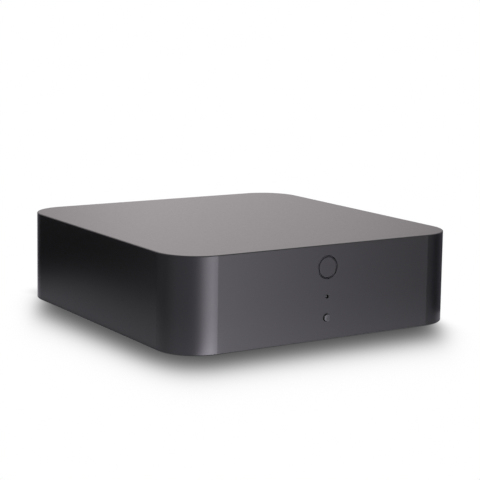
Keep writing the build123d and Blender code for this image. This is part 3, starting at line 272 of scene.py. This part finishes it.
dist = math_node(n, l, "SUBTRACT", math_node(n, l, "SQRT", math_node(n, l, "ADD", px, py)), 0.0182)
strength = map_range(n, l, dist, 0.0, 0.075, 0.41, 0.0)
strength = math_node(n, l, "MULTIPLY", strength, map_range(n, l, dist, 0.0004, 0.0035, 0.0, 1.0, smooth=True))
# brighter in front of the near left corner, where the light panel reaches down to the floor
bearing = math_node(n, l, "ARCTAN2", math_node(n, l, "ADD", sep.outputs["X"], 0.0625),
                    math_node(n, l, "MULTIPLY", math_node(n, l, "ADD", sep.outputs["Y"], 0.055), -1.0))
lit = math_node(n, l, "MULTIPLY", map_range(n, l, bearing, math.radians(-12), math.radians(10), 0.0, 1.0, smooth=True),
                map_range(n, l, bearing, math.radians(12), math.radians(33), 1.0, 0.0, smooth=True))
strength = math_node(n, l, "MULTIPLY", strength,
                     math_node(n, l, "MULTIPLY_ADD", lit, map_range(n, l, dist, 0.004, 0.040, 7.0, 3.4), 1.0))
em = n.new("ShaderNodeEmission")
em.inputs["Color"].default_value = (1.00, 0.965, 1.07, 1)
l.new(strength, em.inputs["Strength"])
clear = n.new("ShaderNodeBsdfTransparent")
addsh = n.new("ShaderNodeAddShader")
l.new(em.outputs[0], addsh.inputs[0])
l.new(clear.outputs[0], addsh.inputs[1])
out = n.new("ShaderNodeOutputMaterial")
l.new(addsh.outputs[0], out.inputs["Surface"])
gm.cycles.emission_sampling = "NONE"
glow_mesh.materials.append(gm)
glossy_only(glow)

# painted shade for reflections: a dim sheet right under the case, seen only in reflections, stands in for the shade
# there, so the rim's small chamfer mirrors little light
outline = [(sx * 0.0538 + 0.0189 * math.cos(a), sy * 0.0558 + 0.0189 * math.sin(a), 0.0001)
           for sx, sy, a0 in ((1, 1, 0), (-1, 1, 90), (-1, -1, 180), (1, -1, 270))
           for a in [math.radians(a0 + 7.5 * k) for k in range(13)]]
under_mesh = mesh_from("under_case", outline, [tuple(range(len(outline)))])
under_mesh.materials.append(emission("under_case_painted_shade", (0.97, 0.95, 1.0), 0.45))
glossy_only(link_obj("under_case", under_mesh))

# dark cards beside the case keep its side walls dark; each has its own soft shading along its length
for name, x, y0, z0, h, y1, y2, shades in (
        ("flag_left", -0.118, 0.020, 0.0, 0.0414, 0.0, 0.5, [(0.0, 0.0), (0.38, 0.0), (0.9, 0.45)]),
        ("flag_right", 0.086, -0.098, -0.05, 0.041, -0.1, 0.1, [(0.0, 0.50), (0.05, 0.15), (0.10, 0.07), (0.16, 0.13), (0.33, 0.13), (0.80, 0.9)])):
    me = mesh_from(name, [(x, y0, z0), (x, 0.6, z0), (x, 0.6, h), (x, y0, h)], [(0, 1, 2, 3)])
    cm, n, l = new_material(name + "_card")
    tc = n.new("ShaderNodeTexCoord")
    sep = n.new("ShaderNodeSeparateXYZ")
    l.new(tc.outputs["Object"], sep.inputs[0])
    em = n.new("ShaderNodeEmission")
    em.inputs["Color"].default_value = (1.02, 0.985, 1.20, 1)
    l.new(ramp(n, l, map_range(n, l, sep.outputs["Y"], y1, y2, 0.0, 1.0), shades, "EASE"), em.inputs["Strength"])
    out = n.new("ShaderNodeOutputMaterial")
    l.new(em.outputs[0], out.inputs["Surface"])
    cm.cycles.emission_sampling = "NONE"
    me.materials.append(cm)
    glossy_only(link_obj(name, me))

key_data = bpy.data.lights.new("key", "AREA")
key_data.shape = "RECTANGLE"
key_data.size, key_data.size_y = 0.9, 0.7
key_data.energy = 9.0
key = bpy.data.objects.new("key", key_data)
scene.collection.objects.link(key)
key.location = (0.0, 0.35, 0.95)
key.rotation_euler = (Vector((0, 0, 0)) - Vector(key.location)).to_track_quat("-Z", "Y").to_euler()
key.visible_glossy = False

scene.view_settings.view_transform = "Standard"
scene.view_settings.look = "None"
scene.view_settings.exposure = 0.0
scene.view_settings.gamma = 1.0
scene.cycles.use_denoising = True
scene.cycles.max_bounces = 8
scene.cycles.diffuse_bounces = 3
scene.cycles.glossy_bounces = 4


# ---------------------------------------------------------------- materials
class Look:
    """One procedural material: a Principled shader with helpers for texture in object space, in metres."""

    def __init__(self, name, metallic=0.0, ior=1.5, subsurface=0.0, transmission=0.0, anisotropic=0.0, coat=0.0, coat_rough=0.1):
        self.m, self.n, self.l = new_material(name + "_look")
        self.b = self.n.new("ShaderNodeBsdfPrincipled")
        out_ = self.n.new("ShaderNodeOutputMaterial")
        self.l.new(self.b.outputs[0], out_.inputs["Surface"])
        self.b.inputs["Metallic"].default_value = metallic
        self.b.inputs["IOR"].default_value = ior
        self.b.inputs["Anisotropic"].default_value = anisotropic
        self.b.inputs["Coat Weight"].default_value = coat
        self.b.inputs["Coat Roughness"].default_value = coat_rough
        if subsurface:
            self.b.inputs["Subsurface Weight"].default_value = subsurface
            self.b.inputs["Subsurface Radius"].default_value = (0.0012, 0.0010, 0.0008)
            self.b.inputs["Subsurface Scale"].default_value = 1.0
        if transmission:
            self.b.inputs["Transmission Weight"].default_value = transmission
        self.tc = self.n.new("ShaderNodeTexCoord")
        self.at = self.tc.outputs["Object"]
        self.heights = []

    def stretched(self, scale):
        mp = self.n.new("ShaderNodeMapping")
        mp.inputs["Scale"].default_value = scale
        self.l.new(self.at, mp.inputs["Vector"])
        return mp.outputs["Vector"]

    def noise(self, scale, detail=3.0, rough=0.5, distortion=0.0, stretch=None):
        t = self.n.new("ShaderNodeTexNoise")
        t.inputs["Scale"].default_value = scale
        t.inputs["Detail"].default_value = detail
        t.inputs["Roughness"].default_value = rough
        t.inputs["Distortion"].default_value = distortion
        self.l.new(self.stretched(stretch) if stretch else self.at, t.inputs["Vector"])
        return t.outputs["Fac"]

    def cells(self, scale, feature="F1", metric="EUCLIDEAN", randomness=1.0, stretch=None):
        t = self.n.new("ShaderNodeTexVoronoi")
        t.feature = feature
        if feature != "DISTANCE_TO_EDGE":
            t.distance = metric
        t.inputs["Scale"].default_value = scale
        t.inputs["Randomness"].default_value = randomness
        self.l.new(self.stretched(stretch) if stretch else self.at, t.inputs["Vector"])
        return t

    def wave(self, scale, direction="X", distortion=0.0, detail=0.0, kind="BANDS", stretch=None):
        t = self.n.new("ShaderNodeTexWave")
        t.wave_type = kind
        if kind == "BANDS":
            t.bands_direction = direction
        else:
            t.rings_direction = direction
        t.inputs["Scale"].default_value = scale
        t.inputs["Distortion"].default_value = distortion
        t.inputs["Detail"].default_value = detail
        self.l.new(self.stretched(stretch) if stretch else self.at, t.inputs["Vector"])
        return t.outputs["Fac"]

    def axis(self, which, source="Object"):
        s = self.n.new("ShaderNodeSeparateXYZ")
        self.l.new(self.tc.outputs[source], s.inputs[0])
        return s.outputs[which]

    def maths(self, op, a, b=None, c=None, clamp=False):
        return math_node(self.n, self.l, op, a, b, c, clamp)

    def span(self, value, a, b, c=0.0, d=1.0, smooth=True):
        return map_range(self.n, self.l, value, a, b, c, d, smooth)

    def mix(self, fac, a, b, blend="MIX"):
        x = self.n.new("ShaderNodeMix")
        x.data_type, x.blend_type = "RGBA", blend
        for key_, v in (("A", a), ("B", b)):
            if isinstance(v, tuple):
                x.inputs[key_].default_value = (*v, 1)
            else:
                self.l.new(v, x.inputs[key_])
        if isinstance(fac, (int, float)):
            x.inputs["Factor"].default_value = fac
        else:
            self.l.new(fac, x.inputs["Factor"])
        return x.outputs["Result"]

    def tones(self, fac, stops):
        return ramp(self.n, self.l, fac, stops)

    def color(self, socket):
        self.l.new(socket, self.b.inputs["Base Color"])

    def roughness(self, socket):
        self.l.new(socket, self.b.inputs["Roughness"])

    def bump(self, height, strength, distance):
        self.heights.append((height, strength, distance))

    def done(self):
        last = None
        for height, strength_, distance in self.heights:
            bp = self.n.new("ShaderNodeBump")
            bp.inputs["Strength"].default_value = strength_
            bp.inputs["Distance"].default_value = distance
            self.l.new(height, bp.inputs["Height"])
            if last is not None:
                self.l.new(last, bp.inputs["Normal"])
            last = bp.outputs["Normal"]
        if last is not None:
            self.l.new(last, self.b.inputs["Normal"])
        return self.m


def scaled(c, k):
    return tuple(min(1.0, v * k) for v in c)


def satin_paint(name, c, rough):
    """Fine satin coat: even tone, the faintest orange peel and a slight variation of sheen."""
    k = Look(name)
    big = k.noise(45.0, 4.0)
    k.color(k.mix(big, scaled(c, 0.85), scaled(c, 1.15)))
    k.roughness(k.span(k.noise(900.0, 3.0), 0.3, 0.7, rough * 0.97, rough * 1.03))
    k.bump(k.noise(2600.0, 2.0), 0.03, 0.00002)
    return k.done()


def moulded(name, c, rough, grain=0.35, scale=2600.0, ior=1.5):
    """Spark-eroded moulded plastic."""
    k = Look(name, ior=ior)
    big = k.noise(38.0, 5.0, 0.6)
    pits = k.cells(scale * 0.8).outputs["Distance"]
    col = k.mix(big, scaled(c, 0.82), scaled(c, 1.2))
    k.color(k.mix(k.span(pits, 0.1, 0.7, 0.0, 0.35), col, scaled(c, 1.9)))
    k.roughness(k.span(big, 0.3, 0.7, rough * 0.92, rough * 1.08))
    k.bump(pits, grain, 0.00003)
    k.bump(k.noise(scale, 3.0), grain * 0.6, 0.00002)
    return k.done()


def rubber(name, c, rough=0.75):
    k = Look(name)
    dust = k.noise(160.0, 6.0, 0.65)
    k.color(k.mix(k.span(dust, 0.45, 0.75, 0.0, 0.5), c, scaled(c, 2.4)))
    k.roughness(k.span(dust, 0.3, 0.7, rough * 0.9, min(1.0, rough * 1.15)))
    k.bump(k.cells(1500.0).outputs["Distance"], 0.25, 0.00004)
    k.bump(k.noise(3200.0, 3.0), 0.2, 0.00002)
    return k.done()


def plated(name, c, rough, tint=None, streak=(1, 1, 1), streak_scale=900.0, metallic=1.0, spangle=0.0, aniso=0.2, wear=1.0):
    """Plated or bare metal: drawn or turned marks, fine scratches and a clouded finish."""
    k = Look(name, metallic=metallic, anisotropic=aniso)
    cloud = k.noise(120.0, 5.0, 0.6)
    marks = k.noise(streak_scale, 4.0, 0.6, stretch=streak)
    a = k.mix(cloud, scaled(c, 0.86), tint or scaled(c, 1.06))
    k.color(k.mix(k.span(marks, 0.35, 0.7, 0.0, 0.35 * wear), a, scaled(c, 0.7)))
    r = k.maths("ADD", k.span(marks, 0.3, 0.7, rough * (1 - 0.3 * wear), rough * (1 + 0.2 * wear)), k.span(cloud, 0.3, 0.7, -0.03, 0.04))
    k.roughness(k.maths("MAXIMUM", r, 0.05))
    k.bump(marks, 0.03 * wear, 0.00001)
    scratch = k.cells(220.0, "DISTANCE_TO_EDGE", stretch=(1.0, 3.0, 1.0)).outputs["Distance"]
    k.bump(k.span(scratch, 0.0, 0.012), 0.04 * wear, 0.00001)
    if spangle:
        k.bump(k.cells(500.0).outputs["Distance"], spangle, 0.00001)
    return k.done()


def solder_mask(name, c):
    """Circuit board: traces show lighter under the green mask, with plated holes whose dark middles are painted shade,
    and bare laminate at its cut edges.
    """
    k = Look(name, coat=0.25, coat_rough=0.15)
    patch = k.cells(85.0, metric="CHEBYCHEV").outputs["Color"]
    along = k.span(k.wave(62.0, "X"), 0.60, 0.75)
    across = k.span(k.wave(62.0, "Y"), 0.60, 0.75)
    sel = k.n.new("ShaderNodeSeparateColor")
    k.l.new(patch, sel.inputs[0])
    which = k.span(sel.outputs[0], 0.49, 0.51)
    lines = k.mix(which, along, across)
    bare = k.span(sel.outputs[1], 0.40, 0.42)
    traces = k.mix(bare, lines, (0.0, 0.0, 0.0))
    pour = k.span(sel.outputs[2], 0.80, 0.82, 0.0, 0.8)
    green = k.mix(k.maths("MAXIMUM", pour, 0.0), k.mix(traces, scaled(c, 0.75), scaled(c, 1.9)), scaled(c, 1.6))
    vias = k.cells(260.0, randomness=0.9, stretch=(1, 1, 0.001)).outputs["Distance"]
    ring_ = k.span(vias, 0.10, 0.13, 1.0, 0.0)
    # painted shade: the middle of each plated ring is coloured near black where a hole would be
    painted_hole_shade = k.span(vias, 0.04, 0.055, 1.0, 0.0)
    face = k.span(k.maths("ABSOLUTE", k.axis("Z", "Normal")), 0.6, 0.8)
    col = k.mix(ring_, green, (0.62, 0.60, 0.55))
    col = k.mix(painted_hole_shade, col, (0.01, 0.01, 0.01))
    edge = k.mix(k.noise(2500.0, 3.0), (0.30, 0.27, 0.12), (0.42, 0.38, 0.20))
    k.color(k.mix(face, edge, col))
    k.roughness(k.span(face, 0.0, 1.0, 0.8, 0.32))
    k.bump(traces, 0.35, 0.00003)
    k.bump(ring_, 0.3, 0.00003)
    return k.done()


def epoxy(name, c):
    k = Look(name)
    f = k.noise(1800.0, 5.0, 0.7)
    top = k.span(k.axis("Z", "Normal"), 0.6, 0.9)
    k.color(k.mix(top, k.mix(f, scaled(c, 0.8), scaled(c, 1.1)), k.mix(f, scaled(c, 1.1), scaled(c, 1.7))))
    k.roughness(k.span(f, 0.3, 0.7, 0.42, 0.6))
    k.bump(f, 0.3, 0.00002)
    return k.done()


def extruded(name, c, rough, along=(1, 0.02, 1), metallic=0.85):
    k = Look(name, metallic=metallic, anisotropic=0.4)
    die = k.noise(2500.0, 4.0, 0.6, stretch=along)
    cloud = k.noise(60.0, 4.0)
    k.color(k.mix(die, k.mix(cloud, scaled(c, 0.7), scaled(c, 0.9)), scaled(c, 1.35)))
    k.roughness(k.span(die, 0.3, 0.7, rough * 0.8, rough * 1.2))
    k.bump(die, 0.12, 0.00003)
    return k.done()


def nylon(name, c, subsurface=0.3, rough=0.42):
    k = Look(name, ior=1.53, subsurface=subsurface)
    big = k.noise(90.0, 4.0)
    k.color(k.mix(big, scaled(c, 0.93), scaled(c, 1.04)))
    k.roughness(k.span(k.noise(800.0, 3.0), 0.3, 0.7, rough * 0.85, rough * 1.15))
    k.bump(k.noise(1600.0, 3.0), 0.12, 0.00003)
    return k.done()


def glossy_plastic(name, c, rough=0.2, subsurface=0.12):
    k = Look(name, ior=1.52, subsurface=subsurface)
    big = k.noise(300.0, 4.0)
    k.color(k.mix(big, scaled(c, 0.85), scaled(c, 1.1)))
    k.roughness(k.span(k.noise(1500.0, 3.0), 0.3, 0.7, rough * 0.8, rough * 1.25))
    k.bump(k.noise(700.0, 2.0), 0.05, 0.00002)
    return k.done()


def can(name, c):
    """Bare aluminium can: drawn marks round the side, a lighter lid with a sealing groove."""
    k = Look(name, metallic=1.0, anisotropic=0.3)
    drawn = k.noise(700.0, 4.0, 0.6, stretch=(0.08, 0.08, 1.0))
    lid = k.span(k.axis("Z", "Normal"), 0.6, 0.9)
    k.color(k.mix(lid, k.mix(drawn, scaled(c, 0.8), scaled(c, 1.05)), k.mix(k.noise(1600.0), scaled(c, 0.88), scaled(c, 1.15))))
    k.roughness(k.span(drawn, 0.3, 0.7, 0.2, 0.42))
    k.bump(drawn, 0.1, 0.00002)
    return k.done()


def sleeve(name, c):
    """Shrunk sleeve with a pale stripe down one side, open at the aluminium lid."""
    k = Look(name)
    nx, ny = k.axis("X", "Normal"), k.axis("Y", "Normal")
    toward = k.maths("ADD", k.maths("MULTIPLY", nx, 0.5), k.maths("MULTIPLY", ny, -0.866))
    stripe = k.span(toward, 0.90, 0.93)
    lid = k.span(k.axis("Z", "Normal"), 0.8, 0.95)
    wrinkle = k.noise(500.0, 5.0, 0.6, stretch=(1, 1, 0.3))
    side_ = k.mix(stripe, k.mix(wrinkle, scaled(c, 0.7), scaled(c, 1.5)), (0.42, 0.43, 0.46))
    k.color(k.mix(lid, side_, k.mix(wrinkle, (0.45, 0.45, 0.46), (0.7, 0.7, 0.7))))
    k.roughness(k.span(wrinkle, 0.3, 0.7, 0.22, 0.36))
    k.l.new(k.maths("MULTIPLY", lid, 0.9), k.b.inputs["Metallic"])
    k.bump(wrinkle, 0.12, 0.00004)
    return k.done()


def dipped(name, c, rough=0.3):
    """Cast or dipped resin body with small pores and a rounded, uneven skin."""
    k = Look(name, coat=0.15)
    pores = k.cells(900.0).outputs["Distance"]
    big = k.noise(110.0, 5.0, 0.6)
    k.color(k.mix(big, scaled(c, 0.8), scaled(c, 1.1)))
    k.roughness(k.span(big, 0.3, 0.7, rough * 0.8, rough * 1.25))
    k.bump(big, 0.25, 0.0002)
    k.bump(k.span(pores, 0.0, 0.12), 0.2, 0.00003)
    return k.done()


def ferrite(name, c):
    """Sintered core with amber tape bands wound round its middle height."""
    k = Look(name)
    grit = k.noise(2200.0, 5.0, 0.7)
    z = k.axis("Z", "Object")
    band = k.maths("MULTIPLY", k.span(z, 0.0138, 0.0140), k.span(z, 0.0222, 0.0224, 1.0, 0.0))
    side_ = k.span(k.maths("ABSOLUTE", k.axis("Z", "Normal")), 0.3, 0.5, 1.0, 0.0)
    lines = k.wave(420.0, "Z", 0.6, 1.0)
    tape = k.mix(lines, (0.55, 0.34, 0.05), (0.70, 0.47, 0.10))
    k.color(k.mix(k.maths("MULTIPLY", band, side_), k.mix(grit, scaled(c, 0.7), scaled(c, 1.6)), tape))
    k.roughness(k.span(k.maths("MULTIPLY", band, side_), 0.0, 1.0, 0.7, 0.3))
    k.bump(grit, 0.3, 0.00004)
    k.bump(lines, 0.1, 0.00003)
    return k.done()


def foil_antenna(name, c):
    """Copper pattern on a dark flexible film."""
    k = Look(name, metallic=0.6)
    meander = k.cells(260.0, metric="CHEBYCHEV", randomness=0.25).outputs["Distance"]
    copper = k.span(meander, 0.30, 0.34)
    film = k.noise(900.0, 4.0)
    tarnish = k.noise(300.0, 5.0, 0.6)
    k.color(k.mix(copper, k.mix(film, (0.015, 0.015, 0.02), (0.04, 0.035, 0.03)), k.mix(tarnish, scaled(c, 0.75), scaled(c, 1.15))))
    k.roughness(k.span(tarnish, 0.3, 0.7, 0.25, 0.45))
    k.bump(copper, 0.3, 0.00003)
    return k.done()


def cable(name, c, second=None):
    """Lead's sheath: slight drawing marks, and a second colour in a spiral where it has one."""
    k = Look(name)
    marks = k.noise(1400.0, 4.0, 0.6)
    col = k.mix(marks, scaled(c, 0.8), scaled(c, 1.2))
    if second:
        spiral = k.wave(95.0, "DIAGONAL", 0.0)
        col = k.mix(k.span(spiral, 0.48, 0.52), col, second)
    k.color(col)
    k.roughness(k.span(marks, 0.3, 0.7, 0.35, 0.52))
    k.bump(marks, 0.12, 0.00002)
    return k.done()


def ribbon(name, c):
    """Flat flex: conductors show as grey lines along it."""
    k = Look(name)
    lines = k.span(k.wave(157.08, "X"), 0.42, 0.58)
    k.color(k.mix(lines, k.mix(k.noise(600.0), scaled(c, 0.9), scaled(c, 1.02)), (0.46, 0.46, 0.48)))
    k.roughness(k.span(lines, 0.0, 1.0, 0.4, 0.3))
    k.bump(lines, 0.25, 0.00003)
    return k.done()


def fibre_sheet(name, c):
    k = Look(name)
    fibre = k.noise(1100.0, 6.0, 0.7, 0.6, stretch=(1, 0.3, 1))
    k.color(k.mix(fibre, scaled(c, 0.6), scaled(c, 1.6)))
    k.roughness(k.span(fibre, 0.3, 0.7, 0.55, 0.75))
    k.bump(fibre, 0.25, 0.00003)
    return k.done()


def thermal(name, c):
    k = Look(name)
    f = k.noise(700.0, 6.0, 0.7)
    specks = k.cells(1200.0).outputs["Distance"]
    k.color(k.mix(k.span(specks, 0.05, 0.25), scaled(c, 1.4), k.mix(f, scaled(c, 0.85), scaled(c, 1.1))))
    k.roughness(k.span(f, 0.3, 0.7, 0.7, 0.9))
    k.bump(f, 0.3, 0.00005)
    return k.done()


def smoked_lens(name):
    """Unlit light pipe: dark smoky acrylic, coloured a dim grey in the middle and darker towards its rim."""
    k = Look(name, ior=1.49, transmission=0.35)
    x, z = k.axis("X", "Object"), k.maths("SUBTRACT", k.axis("Z", "Object"), 0.01925)
    r2 = k.maths("ADD", k.maths("MULTIPLY", x, x), k.maths("MULTIPLY", z, z))
    r = k.maths("SQRT", r2)
    cloud = k.noise(2600.0, 3.0)
    mid = k.mix(cloud, (0.050, 0.050, 0.053), (0.075, 0.075, 0.078))
    rim_ = k.mix(cloud, (0.012, 0.012, 0.014), (0.02, 0.02, 0.022))
    k.color(k.mix(k.span(r, 0.00022, 0.00050), mid, rim_))
    k.roughness(k.span(cloud, 0.3, 0.7, 0.32, 0.44))
    k.bump(k.noise(2200.0, 2.0), 0.05, 0.00001)
    return k.done()


def lamp(name, c):
    """Lamp package: a pale frame round a yellow phosphor middle."""
    k = Look(name, subsurface=0.2)
    x, z = k.axis("X", "Object"), k.maths("SUBTRACT", k.axis("Z", "Object"), 0.01925)
    r = k.maths("SQRT", k.maths("ADD", k.maths("MULTIPLY", x, x), k.maths("MULTIPLY", z, z)))
    f = k.noise(2500.0, 4.0)
    k.color(k.mix(k.span(r, 0.00055, 0.00065), k.mix(f, (0.80, 0.62, 0.12), (0.88, 0.72, 0.2)), k.mix(f, scaled(c, 0.9), scaled(c, 1.05))))
    k.roughness(k.span(f, 0.3, 0.7, 0.3, 0.45))
    k.bump(f, 0.1, 0.00002)
    return k.done()


def black_chrome(name, c):
    """Polished dark plating with the finest polishing marks."""
    k = Look(name, metallic=1.0)
    f = k.noise(1500.0, 4.0, 0.6)
    k.color(k.mix(f, scaled(c, 0.85), scaled(c, 1.15)))
    k.roughness(k.span(f, 0.3, 0.7, 0.10, 0.17))
    k.bump(f, 0.03, 0.00001)
    return k.done()


MATS = {
    "case_paint": satin_paint("case_paint", (0.0032, 0.0032, 0.0036), 0.29),
    "button_grey": satin_paint("button_grey", (0.045, 0.045, 0.048), 0.33),
    "base_black": moulded("base_black", (0.018, 0.018, 0.019), 0.55),
    "panel_black": moulded("panel_black", (0.020, 0.020, 0.021), 0.5, grain=0.3),
    "rubber_black": rubber("rubber_black", (0.016, 0.016, 0.016)),
    "steel_black": plated("steel_black", (0.055, 0.052, 0.055), 0.36, tint=(0.075, 0.065, 0.06)),
    "steel_zinc": plated("steel_zinc", (0.62, 0.63, 0.62), 0.30, tint=(0.70, 0.66, 0.52)),
    "board_green": solder_mask("board_green", (0.010, 0.060, 0.028)),
    "chip_black": epoxy("chip_black", (0.018, 0.018, 0.019)),
    "pad_grey": thermal("pad_grey", (0.36, 0.38, 0.42)),
    "sink_aluminium": extruded("sink_aluminium", (0.055, 0.055, 0.060), 0.42),
    "clip_nylon": nylon("clip_nylon", (0.80, 0.79, 0.74)),
    "tin_shield": plated("tin_shield", (0.70, 0.70, 0.68), 0.32, streak=(1, 0.06, 1), wear=0.3),
    "capacitor_can": can("capacitor_can", (0.72, 0.72, 0.73)),
    "capacitor_sleeve": sleeve("capacitor_sleeve", (0.018, 0.018, 0.026)),
    "film_yellow": dipped("film_yellow", (0.70, 0.46, 0.06)),
    "fuse_brown": dipped("fuse_brown", (0.11, 0.045, 0.028), 0.35),
    "ferrite_dark": ferrite("ferrite_dark", (0.055, 0.052, 0.052)),
    "antenna_copper": foil_antenna("antenna_copper", (0.80, 0.40, 0.22)),
    "lead_black": cable("lead_black", (0.015, 0.015, 0.015)),
    "lead_grey": cable("lead_grey", (0.30, 0.30, 0.32)),
    "lead_green": cable("lead_green", (0.02, 0.24, 0.06), second=(0.72, 0.60, 0.05)),
    "lead_red": cable("lead_red", (0.42, 0.02, 0.015)),
    "ribbon_white": ribbon("ribbon_white", (0.78, 0.79, 0.78)),
    "header_white": nylon("header_white", (0.78, 0.74, 0.63)),
    "connector_black": moulded("connector_black", (0.014, 0.014, 0.015), 0.38, grain=0.18, scale=3400.0, ior=1.55),
    "nickel": plated("nickel", (0.66, 0.63, 0.57), 0.24, streak=(1, 0.08, 1), wear=0.4),
    "gold_contact": plated("gold_contact", (0.86, 0.58, 0.20), 0.20, tint=(0.90, 0.66, 0.27)),
    "brass_nickel": plated("brass_nickel", (0.68, 0.65, 0.58), 0.20, tint=(0.72, 0.67, 0.54), streak=(0.05, 1, 0.05), streak_scale=1600.0, wear=0.4),
    "insulator_white": glossy_plastic("insulator_white", (0.78, 0.78, 0.75)),
    "insulator_red": glossy_plastic("insulator_red", (0.46, 0.012, 0.012)),
    "insulator_orange": glossy_plastic("insulator_orange", (0.80, 0.17, 0.01)),
    "sheet_insulator": fibre_sheet("sheet_insulator", (0.045, 0.045, 0.045)),
    "lens_clear": smoked_lens("lens_clear"),
    "led_white": lamp("led_white", (0.84, 0.82, 0.74)),
    "badge_polished": black_chrome("badge_polished", (0.085, 0.085, 0.092)),
}
for name, node in NODES.items():
    slot = node.material_slots[0].material.name.split(".")[0]
    node.material_slots[0].material = MATS[slot]
